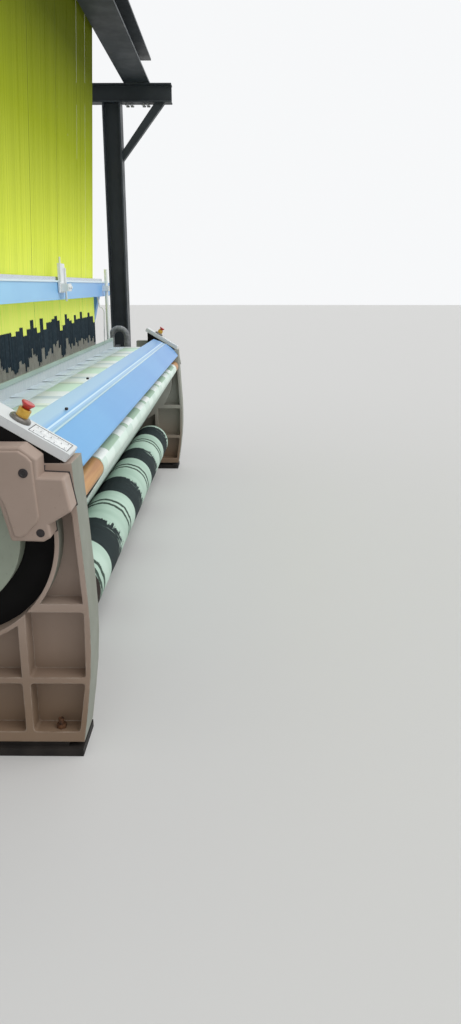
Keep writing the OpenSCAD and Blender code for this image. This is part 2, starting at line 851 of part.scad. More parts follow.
// Cloth from the fell over the breast bar and rollers to the back of the cloth roll
module cloth_sheet() {
    h = cloth_t / 2 + cloth_gap;
    color([0.84, 0.93, 0.87]) place() along_x(warp_x0, warp_x1) polygon(sheet([
        [fell_d, cloth_z, 0, -1], [breast[0], breast[1], breast_r + h, -1],
        [take_up[0], take_up[1], take_up_r + h, 1], [press[0], press[1], press_r + h, -1],
        [guide[0], guide[1], guide_r + h, -1],
        [cloth_axis[0], cloth_axis[1], roll_r + h, 1]], cloth_t));
}

module roller(at, r, j) {
    rod_x(-frame_in + 8, frame_in - 8, at, r);
    rod_x(-frame_in - bearing_deep + 3, frame_in + bearing_deep - 3, at, j);
}

module take_up_roller() {
    color([0.25, 0.26, 0.27]) place() roller(take_up, take_up_r, journal_r);
}

module press_roller() {
    color([0.42, 0.42, 0.42]) place() roller(press, press_r, journal_r - 6);
}

module guide_roller() {
    color([0.72, 0.52, 0.32]) place() roller(guide, guide_r, journal_r - 6);
}

module cloth_beam() {
    color([0.24, 0.20, 0.17]) place() {
        rod_x(-frame_in + 8, frame_in - 8, cloth_axis, cloth_tube_r);
        rod_x(-frame_in - bearing_deep + 3, frame_in + bearing_deep - 3, cloth_axis, journal_r);
    }
}

module cloth_roll() {
    color([0.18, 0.20, 0.21]) place() difference() {
        rod_x(warp_x0, warp_x1, cloth_axis, roll_r);
        rod_x(warp_x0 - 1, warp_x1 + 1, cloth_axis, cloth_tube_r);
    }
}

// Harness: every band hangs in four rows; bands of group a and b alternate
function band_x(i) = warp_x0 + i * band_w;
function lift_of(g) = g == 0 ? band_step : -band_step;
function row_d(r) = row_d0 + r * row_pitch;
function row_top_d(r) = row_top_d0 + r * top_pitch;

// One band's plate with its wires standing between the warp ribbons
module wired_plate(i, d, z0, z1, foot_h, cap_h) {
    difference() {
        block(band_x(i) + band_gap / 2, band_x(i) + band_w - band_gap / 2, d - plate_t / 2,
            d + plate_t / 2, z0, z1);
        for (k = [0:band_n - 1]) {
            translate([band_x(i) + (k + 0.5) * dent_pitch - window_w / 2, d - 2 * plate_t,
                z0 + foot_h]) cube([window_w, 4 * plate_t, z1 - z0 - foot_h - cap_h]);
        }
    }
}

module heddles(g) {
    for (i = [g:2:bands - 1], r = [0:rows - 1]) {
        difference() {
            wired_plate(i, row_d(r) + g * hang_d, heddle_z, sleeve_top_z + lift_of(g), 14,
                170 + lift_of(g) / 2);
            for (k = [1:band_n - 1]) {
                if (r == 0 || r == rows - 1) {
                    translate([band_x(i) + k * dent_pitch - 2, row_d(r) + g * hang_d - 3,
                        sleeve_top_z + lift_of(g) - 150]) cube([4, 6, 160]);
                }
            }
        }
    }
}

module heddles_a() {
    color([0.15, 0.20, 0.24]) place() heddles(0);
}

module heddles_b() {
    color([0.15, 0.20, 0.24]) place() heddles(1);
}

straight_top = 200;

module harness(g) {
    for (i = [g:2:bands - 1], r = [0:rows - 1]) {
        along_x(band_x(i) + band_gap / 2, band_x(i) + band_w - band_gap / 2)
            translate([g * hang_d, 0]) polygon(thick([[row_d(r), sleeve_top_z + lift_of(g)],
                [row_d(r), comber_z], [row_d(r), comber_z + comber_t],
                [row_top_d(r), hook_z - straight_top], [row_top_d(r), hook_z + bar_h]], plate_t));
    }
}

module harness_a() {
    color([0.80, 0.87, 0.22]) place() harness(0);
}

module harness_b() {
    color([0.74, 0.82, 0.20]) place() harness(1);
}

head_wall = 12;
bar_x = head_l / 2 - head_wall - cloth_gap;

module lift_bars_a() {
    color([0.55, 0.57, 0.60]) place() for (r = [0:rows - 1]) {
        block(-bar_x, bar_x, row_top_d(r) - plate_t / 2 - bar_t, row_top_d(r) - plate_t / 2,
            hook_z, hook_z + bar_h);
    }
}

module lift_bars_b() {
    color([0.50, 0.52, 0.55]) place() for (r = [0:rows - 1]) {
        block(-bar_x, bar_x, row_top_d(r) + hang_d + plate_t / 2,
            row_top_d(r) + hang_d + plate_t / 2 + bar_t, hook_z, hook_z + bar_h);
    }
}

slot_w = 24;

module comber_board() {
    color([0.55, 0.56, 0.56]) place() difference() {
        block(warp_x0 - 40, warp_x1 + 40, arch_d + 10, rear_arch_d + arch_t - 5, comber_z,
            comber_z + comber_t);
        for (i = [0:bands - 1], r = [0:rows - 1]) {
            block(band_x(i) + 2, band_x(i) + band_w - 2, row_d(r) + hang_d / 2 - slot_w / 2,
                row_d(r) + hang_d / 2 + slot_w / 2, comber_z - 1, comber_z + comber_t + 1);
        }
    }
}

module springs(g) {
    for (i = [g:2:bands - 1], r = [0:rows - 1]) {
        block(band_x(i) + band_gap, band_x(i) + band_w - band_gap,
            row_d(r) + g * hang_d - plate_t / 2, row_d(r) + g * hang_d + plate_t / 2, spring_z,
            heddle_z);
    }
}

module springs_a() {
    color([0.62, 0.64, 0.66]) place() springs(0);
}

module springs_b() {
    color([0.62, 0.64, 0.66]) place() springs(1);
}

// Warp ribbons from the fell through the reed and the heddles
shed_end_d = 1130;

module warp_shed(g) {
    line = [[fell_d, cloth_z], [row_d0 - 20, cloth_z + lift_of(g)],
        [row_d(rows - 1) + 30, cloth_z + lift_of(g)], [shed_end_d, cloth_z]];
    for (i = [g:2:bands - 1], k = [0:band_n - 1]) {
        x = band_x(i) + (k + 0.5) * dent_pitch;
        along_x(x - ribbon_w / 2, x + ribbon_w / 2) polygon(thick(line, cloth_t));
    }
}

module warp_shed_a() {
    color([0.93, 0.95, 0.92]) place() warp_shed(0);
}

module warp_shed_b() {
    color([0.90, 0.93, 0.90]) place() warp_shed(1);
}

// Warp from the drop wires over the whip roller to the warp beam
drop_end_d = 1290;
drop_row_d = [1165, 1205, 1245];
panel_gap = 0.2;

module warp_back() {
    h = cloth_t / 2 + cloth_gap;
    color([0.93, 0.94, 0.92]) place() difference() {
        along_x(warp_x0 + (dent_pitch - ribbon_w) / 2, warp_x1 - (dent_pitch - ribbon_w) / 2)
            polygon(sheet([[shed_end_d, cloth_z, 0, 1], [whip[0], whip[1], whip_r + h, 1],
                [warp_axis[0], warp_axis[1], warp_r + h, 1]], cloth_t));
        for (i = [1:dents - 1]) {
            x = warp_x0 + i * dent_pitch;
            block(x - (dent_pitch - ribbon_w) / 2, x + (dent_pitch - ribbon_w) / 2,
                shed_end_d - 1, drop_end_d, cloth_z - 5, cloth_z + 5);
        }
    }
}

// Warp stop motion: drop wires hanging on the warp, with their rails and end blocks
eye_top = cloth_t / 2 + cloth_gap;

module drop_wire(i, d) {
    difference() {
        wired_plate(i, d, cloth_z - 60, cloth_z + 72, 28, 72 - eye_top);
        block(band_x(i) + 8, band_x(i) + band_w - 8, d - 2, d + 2, cloth_z + 12, cloth_z + 62);
    }
}

module drop_wires() {
    color([0.66, 0.68, 0.70]) place() {
        for (d = drop_row_d, i = [0:bands - 1]) {
            drop_wire(i, d);
        }
        for (d = drop_row_d) {
            block(-frame_in + panel_gap, frame_in - panel_gap, d - 3, d - 1, cloth_z + 20,
                cloth_z + 54);
        }
        for (s = [-1, 1]) {
            block(s > 0 ? frame_in : -frame_in - 60, s > 0 ? frame_in + 60 : -frame_in,
                drop_row_d[0] - 25, drop_row_d[2] + 25, rear_rail_z, cloth_z + 70);
        }
    }
}

module whip_roller() {
    color([0.50, 0.52, 0.53]) place() roller(whip, whip_r, journal_r);
}

flange_t = 12;

module warp_beam() {
    color([0.48, 0.50, 0.52]) place() {
        rod_x(warp_x0 - flange_t - 2, warp_x1 + flange_t + 2, warp_axis, warp_tube_r);
        rod_x(-frame_in - bearing_deep + 3, frame_in + bearing_deep - 3, warp_axis,
            warp_journal_r);
        rod_x(warp_x0 - flange_t, warp_x0, warp_axis, flange_r);
        rod_x(warp_x1, warp_x1 + flange_t, warp_axis, flange_r);
    }
}

module warp_roll() {
    color([0.88, 0.90, 0.87]) place() difference() {
        rod_x(warp_x0, warp_x1, warp_axis, warp_r);
        rod_x(warp_x0 - 1, warp_x1 + 1, warp_axis, warp_tube_r);
    }
}

// Jacquard head: walls, lid and door panels around the open lift space
head_d = [480, 1150];
head_z = gantry_z + beam_h;
head_top = head_z + jacquard_h;
drive_z = head_z + 140;

module jacquard_head() {
    h = head_l / 2;
    w = head_wall;
    q = panel_gap;
    door_w = (head_l - 40) / 6;
    color([0.40, 0.42, 0.43]) place() {
        for (k = [0:1], d = [head_d[0], head_d[1] - w]) {
            block(-h + k * (h + q / 2), k * h - q / 2 * (1 - k), d, d + w, head_z + q, head_top);
        }
        block(-h, -h + w, head_d[0] + w + q, head_d[1] - w - q, head_z + q, head_top);
        block(h - w, h, head_d[0] + w + q, head_d[1] - w - q, head_z + q, head_top);
        block(-h, h, head_d[0], head_d[1], head_top + q, head_top + w);
        for (k = [0:5], d = [head_d[0] - 6 - q, head_d[1] + q]) {
            translate([-h + 30 + k * door_w, d, head_z + 60])
                cube([door_w - 20, 6, jacquard_h - 140]);
        }
        difference() {
            block(upright_x - 80, upright_x + 80, upright_d - 80, upright_d + 80, drive_z - 80,
                drive_z + 80);
            rod_z(upright_x, upright_d, drive_z - 81, drive_z - 20, upright_r + bearing_gap);
        }
        rod_x(h + q, upright_x - 79, [upright_d, drive_z], 45);
    }
}

module cardan_shaft() {
    color([0.62, 0.63, 0.64]) place() {
        rod_z(upright_x, upright_d, gearbox_z[1] - 55, drive_z - 24, upright_r);
        rod_z(upright_x, upright_d, gearbox_z[1] + 30, gearbox_z[1] + 110, 36);
        rod_z(upright_x, upright_d, drive_z - 200, drive_z - 120, 36);
    }
}

// Gantry: four posts on base plates, cross beams with knee braces, two longitudinal beams
module h_section(w, h, web, flange) {
    polygon([[-w / 2, -h / 2], [w / 2, -h / 2], [w / 2, flange - h / 2],
        [web / 2, flange - h / 2], [web / 2, h / 2 - flange], [w / 2, h / 2 - flange],
        [w / 2, h / 2], [-w / 2, h / 2], [-w / 2, h / 2 - flange], [-web / 2, h / 2 - flange],
        [-web / 2, flange - h / 2], [-w / 2, flange - h / 2]]);
}

module gantry_post(x, d) {
    translate([x, d, base_t]) linear_extrude(gantry_z - cross_h - panel_gap - base_t)
        h_section(post_w, post_w, 8, 13);
    difference() {
        block(x - base_w / 2, x + base_w / 2, d - base_w / 2, d + base_w / 2, 0, base_t);
        for (a = [-1, 1], b = [-1, 1]) {
            rod_z(x + a * anchor_pitch / 2, d + b * anchor_pitch / 2, -1, base_t + 1, anchor_r);
        }
    }
}

module gantry_posts() {
    color([0.16, 0.18, 0.20]) place() for (s = [-1, 1], d = [post_front_d, post_rear_d]) {
        gantry_post(s * post_x, d);
    }
}

brace_w = 60;

module cross_beam(x) {
    z0 = gantry_z - cross_h - panel_gap;
    reach = post_front_d - post_w / 2 - cross_front_d - 60;
    translate([x, 0, z0 + cross_h / 2]) rotate([-90, 0, 0]) translate([0, 0, cross_front_d])
        linear_extrude(post_rear_d + post_w - cross_front_d) h_section(120, cross_h, 7, 11);
    along_x(x - brace_w / 2, x + brace_w / 2) polygon([
        [post_front_d - post_w / 2, z0 - reach - 90], [post_front_d - post_w / 2, z0 - reach],
        [cross_front_d + 150, z0], [cross_front_d + 60, z0]]);
}

module long_beam(d) {
    translate([-gantry_l / 2, d + beam_w / 2, gantry_z + beam_h / 2]) rotate([90, 0, 90])
        linear_extrude(gantry_l) h_section(beam_w, beam_h, 10, 16);
}

module gantry_beams() {
    color([0.18, 0.20, 0.22]) place() {
        long_beam(front_beam_d);
        long_beam(rear_beam_d);
        cross_beam(-post_x);
        cross_beam(post_x);
    }
}

// Main drive on the right frame
function tooth(n, k, rf, ro) = let (p = 360 / n, a = k * p)
    [rf * [cos(a - 0.27 * p), sin(a - 0.27 * p)], ro * [cos(a - 0.11 * p), sin(a - 0.11 * p)],
    ro * [cos(a + 0.11 * p), sin(a + 0.11 * p)], rf * [cos(a + 0.27 * p), sin(a + 0.27 * p)]];
function gear_line(n) = let (r = gear_m * n / 2)
    [for (k = [0:n - 1]) each tooth(n, k, r - 1.25 * gear_m, r + 0.9 * gear_m)];

gear_x = frame_t - 44;
gear_w = 24;

// Turns a tooth of the main gear and a gap of the pinion to face each other
mesh_turn = pinion_angle - floor(pinion_angle * gear_n / 360) * 360 / gear_n;

module main_shaft() {
    color([0.58, 0.60, 0.62]) place() {
        rod_x(-frame_in - 50, frame_in + gear_x + gear_w + 10, main_axis, shaft_r);
        translate([frame_in + gear_x, main_axis[0], main_axis[1]]) rotate([90, 0, 90])
            rotate(mesh_turn) linear_extrude(gear_w) polygon(gear_line(gear_n));
    }
}

module motor_pinion() {
    color([0.55, 0.56, 0.58]) place() {
        translate([frame_in + gear_x, pinion_axis[0], pinion_axis[1]]) rotate([90, 0, 90])
            rotate(pinion_angle + 180 + 180 / pinion_n) linear_extrude(gear_w)
                polygon(gear_line(pinion_n));
        rod_x(frame_in + gear_x + gear_w - 1, frame_in + frame_t + 60, pinion_axis, shaft_r - 4);
    }
}

motor_r = 95;
motor_l = 320;

module main_motor() {
    x0 = frame_in + frame_t - 1;
    color([0.07, 0.07, 0.08]) place() difference() {
        union() {
            rod_x(x0, x0 + 18, pinion_axis, motor_r + 12);
            rod_x(x0 + 18, x0 + motor_l, pinion_axis, motor_r - 8);
            for (k = [0:15]) {
                translate([x0 + 30, pinion_axis[0], pinion_axis[1]]) rotate([22.5 * k, 0, 0])
                    translate([0, -2, 0]) cube([motor_l - 90, 4, motor_r]);
            }
            rod_x(x0 + motor_l - 50, x0 + motor_l, pinion_axis, motor_r);
        }
        rod_x(x0 - 1, x0 + 70, pinion_axis, shaft_r - 4 + bearing_gap);
    }
}

// Ribbed suction hose, bent in an arch on the right frame's top rail
hose_r = 24;
hose_bend_r = 62;
hose_top_z = 1102;
hose_d = 485;
hose_x = frame_in + 35;

module hose_leg(d) {
    rod_z(hose_x, d, rail_z, hose_top_z, hose_r - 3);
    for (k = [0:7]) {
        rod_z(hose_x, d, rail_z + 2 + k * 14, rail_z + 10 + k * 14, hose_r);
    }
}

module suction_hose() {
    color([0.45, 0.46, 0.47]) place() {
        hose_leg(hose_d - hose_bend_r);
        hose_leg(hose_d + hose_bend_r);
        translate([hose_x, hose_d, hose_top_z]) rotate([90, 0, 90]) {
            rotate_extrude(angle = 180) translate([hose_bend_r, 0]) circle(r = hose_r - 3);
            for (k = [0:12]) {
                rotate(5.5 + 13.5 * k) rotate_extrude(angle = 7.4) translate([hose_bend_r, 0])
                    circle(r = hose_r);
            }
        }
    }
}

// Weft feeder on its own stand at the left end
feeder_x = -2700;
feeder_d = 850;
feeder_z = 1120;

module weft_feeder() {
    color([0.22, 0.27, 0.33]) place() {
        block(feeder_x - 150, feeder_x + 150, feeder_d - 150, feeder_d + 150, 0, 12);
        rod_z(feeder_x, feeder_d, 12, feeder_z - 60, 22);
        block(feeder_x - 110, feeder_x + 60, feeder_d - 65, feeder_d + 65, feeder_z - 70,
            feeder_z + 70);
        rod_x(feeder_x + 59, feeder_x + 90, [feeder_d, feeder_z], 8);
        rod_x(feeder_x + 88, feeder_x + 210, [feeder_d, feeder_z], 58);
        rod_x(feeder_x + 209, feeder_x + 225, [feeder_d, feeder_z], 50);
    }
}

module feeder_disc() {
    color([0.80, 0.81, 0.82]) place() difference() {
        union() {
            rod_x(feeder_x + 66, feeder_x + 74, [feeder_d, feeder_z], 76);
            rod_x(feeder_x + 60.5, feeder_x + 82, [feeder_d, feeder_z], 26);
        }
        rod_x(feeder_x + 60, feeder_x + 83, [feeder_d, feeder_z], 8 + bearing_gap);
        for (k = [0:5]) {
            rod_x(feeder_x + 65, feeder_x + 75, [feeder_d + 50 * cos(60 * k),
                feeder_z + 50 * sin(60 * k)], 11);
        }
    }
}

// Electrical cabinet behind the right frame
cabinet_x = [2290, 2760];
cabinet_d = [1170, 1560];
cabinet_z = [80, 1500];

module control_cabinet() {
    color([0.66, 0.68, 0.68]) place() {
        block(cabinet_x[0], cabinet_x[1], cabinet_d[0], cabinet_d[1], cabinet_z[0], cabinet_z[1]);
        block(cabinet_x[0] + 15, cabinet_x[1] - 15, cabinet_d[0] - 14, cabinet_d[0],
            cabinet_z[0] + 15, cabinet_z[1] - 15);
        for (x = [cabinet_x[0] + 40, cabinet_x[1] - 40], d = [cabinet_d[0] + 40, cabinet_d[1] - 40]) {
            rod_z(x, d, 0, cabinet_z[0], 25);
        }
        block(cabinet_x[0] + 40, cabinet_x[0] + 60, cabinet_d[0] - 34, cabinet_d[0] - 14, 740, 900);
    }
}

frame_left();
frame_right();
foot_plates();
breast_beam();
lower_beam();
front_cover();
arch_beam();
arch_fittings();
control_panels();
estop_collars();
estop_left();
estop_right();
gear_covers();
cover_plugs();
round_guards();
inner_guards();
sley();
reed();
rapier_left();
rapier_right();
tape_left();
tape_right();
rapier_wheel_left();
rapier_wheel_right();
wheel_housings();
temples();
cloth_sheet();
take_up_roller();
press_roller();
guide_roller();
cloth_beam();
cloth_roll();
heddles_a();
heddles_b();
harness_a();
harness_b();
lift_bars_a();
lift_bars_b();
comber_board();
springs_a();
springs_b();
spring_rail();
warp_shed_a();
warp_shed_b();
warp_back();
drop_wires();
whip_roller();
warp_beam();
warp_roll();
jacquard_head();
gantry_posts();
gantry_beams();
main_motor();
motor_pinion();
main_shaft();
cardan_shaft();
suction_hose();
weft_feeder();
feeder_disc();
control_cabinet();
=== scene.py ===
import bpy
import numpy as np
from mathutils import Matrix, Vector


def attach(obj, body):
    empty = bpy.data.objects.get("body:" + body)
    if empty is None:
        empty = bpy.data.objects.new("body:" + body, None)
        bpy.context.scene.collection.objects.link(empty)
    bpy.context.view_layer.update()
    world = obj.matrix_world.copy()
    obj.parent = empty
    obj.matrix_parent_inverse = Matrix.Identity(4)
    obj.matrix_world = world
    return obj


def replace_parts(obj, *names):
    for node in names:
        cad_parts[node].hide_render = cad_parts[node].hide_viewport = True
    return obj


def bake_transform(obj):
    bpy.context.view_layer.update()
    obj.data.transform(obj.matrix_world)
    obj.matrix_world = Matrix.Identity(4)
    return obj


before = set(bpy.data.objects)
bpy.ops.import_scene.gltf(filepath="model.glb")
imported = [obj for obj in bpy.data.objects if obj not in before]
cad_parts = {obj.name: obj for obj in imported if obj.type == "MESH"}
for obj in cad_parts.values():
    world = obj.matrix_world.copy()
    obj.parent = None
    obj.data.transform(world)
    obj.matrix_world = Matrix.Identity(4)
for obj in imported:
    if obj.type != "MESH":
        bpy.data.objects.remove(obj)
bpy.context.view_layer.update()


# The view: standing in the aisle at the loom's left end and looking along it, a little down, in the
# even light of a hall. The floor is plain and pale.
mid_depth = 0.937775


def place(x, depth, height):
    """Points in the loom's frame: distance along it, depth less that of its middle, and height."""
    x, depth, height = np.broadcast_arrays(x, depth, height)
    return np.stack([x, depth - mid_depth, height], -1).astype(float)


def add(kind, sockets={}, out=0, tree=None, **own):
    """Adds a shader node with its own choices, links or sets the named sockets, and gives back one
    of its outputs. Where no tree is named, it is that of the first linked value."""
    links = [value for value in sockets.values() if isinstance(value, bpy.types.NodeSocket)]
    tree = tree or links[0].id_data
    node = tree.nodes.new("ShaderNode" + kind)
    for word, value in own.items():
        setattr(node, word, value)
    for key, value in sockets.items():
        if isinstance(value, bpy.types.NodeSocket):
            tree.links.new(value, node.inputs[key])
        else:
            node.inputs[key].default_value = value
    return node.outputs[out]


def maths(how, first, second=0.0):
    """One step of arithmetic on shader values."""
    return add("Math", {0: first, 1: second}, operation=how)


lens = bpy.data.cameras.new("aisle_view")
lens.lens = 27.04
lens.sensor_width = 36
lens.clip_end = 200
camera = bpy.data.objects.new("aisle_view", lens)
camera.location = place(-4.405, -0.490, 1.500)
yaw, pitch = np.radians(0.536), np.radians(16.4)
looks = Vector((np.cos(yaw) * np.cos(pitch), np.sin(yaw) * np.cos(pitch), -np.sin(pitch)))
camera.rotation_euler = looks.to_track_quat("-Z", "Y").to_euler()
bpy.context.collection.objects.link(camera)
bpy.context.scene.camera = camera
bpy.context.scene.view_settings.view_transform = "Standard"

hall = bpy.data.worlds.new("hall")
bpy.context.scene.world = hall
hall.use_nodes = True
tree = hall.node_tree
tree.nodes.clear()
rays = add("LightPath", tree=tree).node.outputs
seen = maths("MAXIMUM", rays["Is Camera Ray"], rays["Is Glossy Ray"])
seen = maths("MAXIMUM", seen, rays["Is Transmission Ray"])
lit = add("Background", {"Color": (1, 1, 1, 1), "Strength": 0.62}, tree=tree)
shown = add("Background", {"Color": (0.93, 0.94, 0.95, 1), "Strength": 1.0}, tree=tree)
tree.links.new(add("MixShader", {0: seen, 1: lit, 2: shown}),
               tree.nodes.new("ShaderNodeOutputWorld").inputs["Surface"])

ceiling = bpy.data.lights.new("ceiling_light", "SUN")
ceiling.energy = 1.7
ceiling.angle = np.radians(50)
lamp = bpy.data.objects.new("ceiling_light", ceiling)
lamp.rotation_euler = Vector((0.15, 0.5, -0.8)).to_track_quat("-Z", "Y").to_euler()
bpy.context.collection.objects.link(lamp)

reach, sunk = 60, -0.0005
ground = bpy.data.meshes.new("floor")
ground.from_pydata([(-reach, -reach, sunk), (reach, -reach, sunk), (reach, reach, sunk),
                    (-reach, reach, sunk)], [], [(0, 1, 2, 3)])
pale_floor = bpy.data.materials.new("pale_floor")
pale_floor.use_nodes = True
matt = pale_floor.node_tree.nodes["Principled BSDF"].inputs
matt["Base Color"].default_value = (0.6, 0.6, 0.59, 1)
matt["Roughness"].default_value = 0.7
ground.materials.append(pale_floor)
floor = bpy.data.objects.new("floor", ground)
bpy.context.collection.objects.link(floor)


# Side frames: iron castings ribbed on both faces, painted a warm grey. The faces that turn to the
# front near the front edge get a greener grey, painted light; the far end is painted greyer, also
# painted light, and the lower parts darker toward the floor. The edges take a paler tone in broken
# patches, a painted highlight.
def linear(code):
    """Linear light of a six-digit colour code: the screen curve undone on each pair of digits."""
    part = np.array([int(code[i:i + 2], 16) for i in (0, 2, 4)]) / 255
    return (*np.where(part <= 0.04045, part / 12.92, ((part + 0.055) / 1.055) ** 2.4).tolist(), 1.0)


def finish(name, roughness, shine=0.5, **own):
    """A new material, its shader with the uniform numbers set, and its object coordinates."""
    made = bpy.data.materials.new(name)
    made.use_nodes = True
    shader = made.node_tree.nodes["Principled BSDF"]
    own = {"Roughness": roughness, "Specular IOR Level": shine, **own}
    for word, value in own.items():
        shader.inputs[word.replace("_", " ")].default_value = value
    return made, shader, add("TexCoord", out="Object", tree=made.node_tree)


def feed(shader, **values):
    """Links values to the shader's sockets of those names."""
    for word, value in values.items():
        shader.id_data.links.new(value, shader.inputs[word.replace("_", " ")])


def axis(where, letter):
    """One of a place's numbers."""
    return add("SeparateXYZ", {0: where}, out=letter)


def times(first, second):
    """One shader value times another."""
    return maths("MULTIPLY", first, second)


def spread(value, low, high, to_low=0.0, to_high=1.0):
    """A value carried from the range low to high onto another range, held at its ends."""
    return add("MapRange", {"Value": value, "From Min": low, "From Max": high, "To Min": to_low,
                            "To Max": to_high}, clamp=True)


def noise(where, scale, detail, stretch=None, **own):
    """Fractal noise, if asked stretched along an axis."""
    if stretch:
        where = add("Mapping", {"Vector": where, "Scale": stretch})
    return add("TexNoise", {"Vector": where, "Scale": scale, "Detail": detail, **own})


def cloud(where, scale, detail=4.0, low=0.35, high=0.65, stretch=None):
    """Fractal noise with its middle range widened to 0 to 1."""
    return spread(noise(where, scale, detail, stretch), low, high)


def mixed(share, first, second, how="MIX", tree=None):
    """Two colours mixed by a share. Each is a shader value, a colour or its code."""
    first, second = (linear(c) if isinstance(c, str) else c for c in (first, second))
    return add("Mix", {0: share, 6: first, 7: second}, out=2, tree=tree, data_type="RGBA",
               blend_type=how)


def shade(code, factor):
    """A colour code's linear light, made darker."""
    return (*(c * factor for c in linear(code)[:3]), 1.0)


def rounded(shader, radius):
    """The normal of edges rounded off by a radius."""
    return add("Bevel", {"Radius": radius}, tree=shader.id_data, samples=4)


def relief(height, strength, distance, **normal):
    """The normal of a fine relief, over another normal if one is given."""
    return add("Bump", {"Height": height, "Strength": strength, "Distance": distance, **normal})


def enamel(name, code, roughness, soil=0.18, edge=0.003, edge_wear_and_highlight=None, painted_front_light=None, far=None, **own):
    """Paint on metal: slow patches and specks of grime, edges rounded by the bevel normal, an edge
    tone in broken patches where that normal turns away from the face's own (rubbed paint, and on the
    castings a painted highlight), and a fine skin of orange peel. The front tone is painted light
    on the faces that turn to the front near the frames' front edge; far holds the tone painted at
    the loom's other end, painted light, and the one laid low down, darker toward the floor."""
    made, shader, where = finish(name, roughness, **own)
    tone = code
    # Painted light: a greyer tone toward the loom's other end. Low down the tone turns darker toward
    # the floor.
    if far:
        tone = mixed(spread(axis(where, "X"), -2.3, 2.1), tone, far[0])
        tone = mixed(spread(axis(where, "Z"), 0.62, 0.12), tone, far[1])
    flat_normal = add("NewGeometry", out="True Normal", tree=shader.id_data)
    # Painted light: the faces that turn to the front near the front edge take a tone of their own.
    if painted_front_light:
        front = spread(axis(where, "Y"), 0.16 - mid_depth, 0.15 - mid_depth)
        facing = spread(axis(flat_normal, "Y"), -0.4, -0.7)
        tone = mixed(times(facing, front), tone, painted_front_light)
    dull = (1 - soil, 1 - 1.05 * soil, 1 - 1.15 * soil, 1)
    tone = mixed(cloud(where, 2.6, 6), tone, mixed(1.0, tone, dull, "MULTIPLY", shader.id_data))
    speck = times(cloud(where, 95, 3, 0.65, 0.74), soil * 1.1)
    tone = mixed(speck, tone, shade(code, 0.35))
    round_normal = rounded(shader, edge)
    # Edge tone where the rounded normal turns away: rubbed paint on most finishes, a painted
    # highlight on the castings.
    if edge_wear_and_highlight:
        edge_mask = add("VectorMath", {0: round_normal, 1: flat_normal}, out="Value",
                   operation="DOT_PRODUCT")
        edge_mask = times(spread(edge_mask, 0.995, 0.9), cloud(where, 30, 4))
        tone = mixed(times(edge_mask, 0.55), tone, edge_wear_and_highlight)
    feed(shader, Base_Color=tone,
         Roughness=spread(cloud(where, 7, 5), 0, 1, roughness - 0.07, roughness + 0.12),
         Normal=relief(noise(where, 420, 2.0), 0.12, 0.0006, Normal=round_normal))
    return made


def dress(made, *nodes):
    """Gives the material to solids whose shape is right as it is."""
    for name in nodes:
        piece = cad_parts[name]
        if not piece.material_slots:
            piece.data.materials.append(made)
        for part in piece.material_slots:
            part.material = made


# The far tone, greyer, is painted light; the low tone is darker toward the floor.
casting, casting_far_light_and_low_tone = "aa978b", ("a9aca3", "8a7460")
# The castings' pale edge tone is a painted highlight.
dress(enamel("casting_paint", casting, 0.52, soil=0.14, edge=0.006, edge_wear_and_highlight="c9bcb0", painted_front_light="8b8f84",
             far=casting_far_light_and_low_tone, shine=0.3), "frame_left", "frame_right")


# Feet: flat bars of black painted steel under both ends of a frame, with rusty levelling bolts
# through the frame's lower flange.
bar_top = 0.084
foot_steel, shader, where = finish("foot_steel", 0.6, shine=0.2)
rust = mixed(cloud(where, 60, 5), "6b4a33", "3a2a22")
black = mixed(cloud(where, 9, 6), "191716", "2e2a27")
above = spread(axis(where, "Z"), bar_top - 0.0004, bar_top + 0.0002)
feed(shader, Base_Color=mixed(above, black, rust),
     Normal=relief(cloud(where, 180, 3), 0.25, 0.001, Normal=rounded(shader, 0.002)))
dress(foot_steel, "foot_plates")


# Cross members: rolled and welded beams in dull grey paint that tie the two frames, the lower one
# with struts up to the rail that anchors the return springs.
dress(enamel("beam_paint", "5b5e5f", 0.5, soil=0.3, edge_wear_and_highlight="8b8d8d"), "breast_beam", "lower_beam",
      "spring_rail", "sley", "wheel_housings")


# Gear covers: hollow castings screwed on the outside of the frames. Their main body stands proud of
# the flange with a rounded step, and black plugs close the two oil holes. A thin black bead round
# each cover's outline on the frame face is a painted shadow of the gap between cover and frame.
def build(name, points, faces, made, slot, body="machine", smooth=False):
    """One piece from arrays of corners and faces, with its material and its body; the slot is not
    used.
    """
    mesh = bpy.data.meshes.new(name)
    mesh.from_pydata(np.array(points, float).reshape(-1, 3), [], np.array(faces))
    mesh.materials.append(made)
    if smooth:
        mesh.shade_smooth()
    piece = bpy.data.objects.new(name, mesh)
    bpy.context.collection.objects.link(piece)
    if body:
        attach(piece, body)
    return piece


def together(*parts):
    """Several meshes as one: each one's corner numbers are raised by the count before it."""
    before = np.cumsum([0] + [len(points) for points, faces in parts[:-1]])
    return (np.concatenate([points for points, faces in parts]),
            np.concatenate([faces + n for (points, faces), n in zip(parts, before)]))


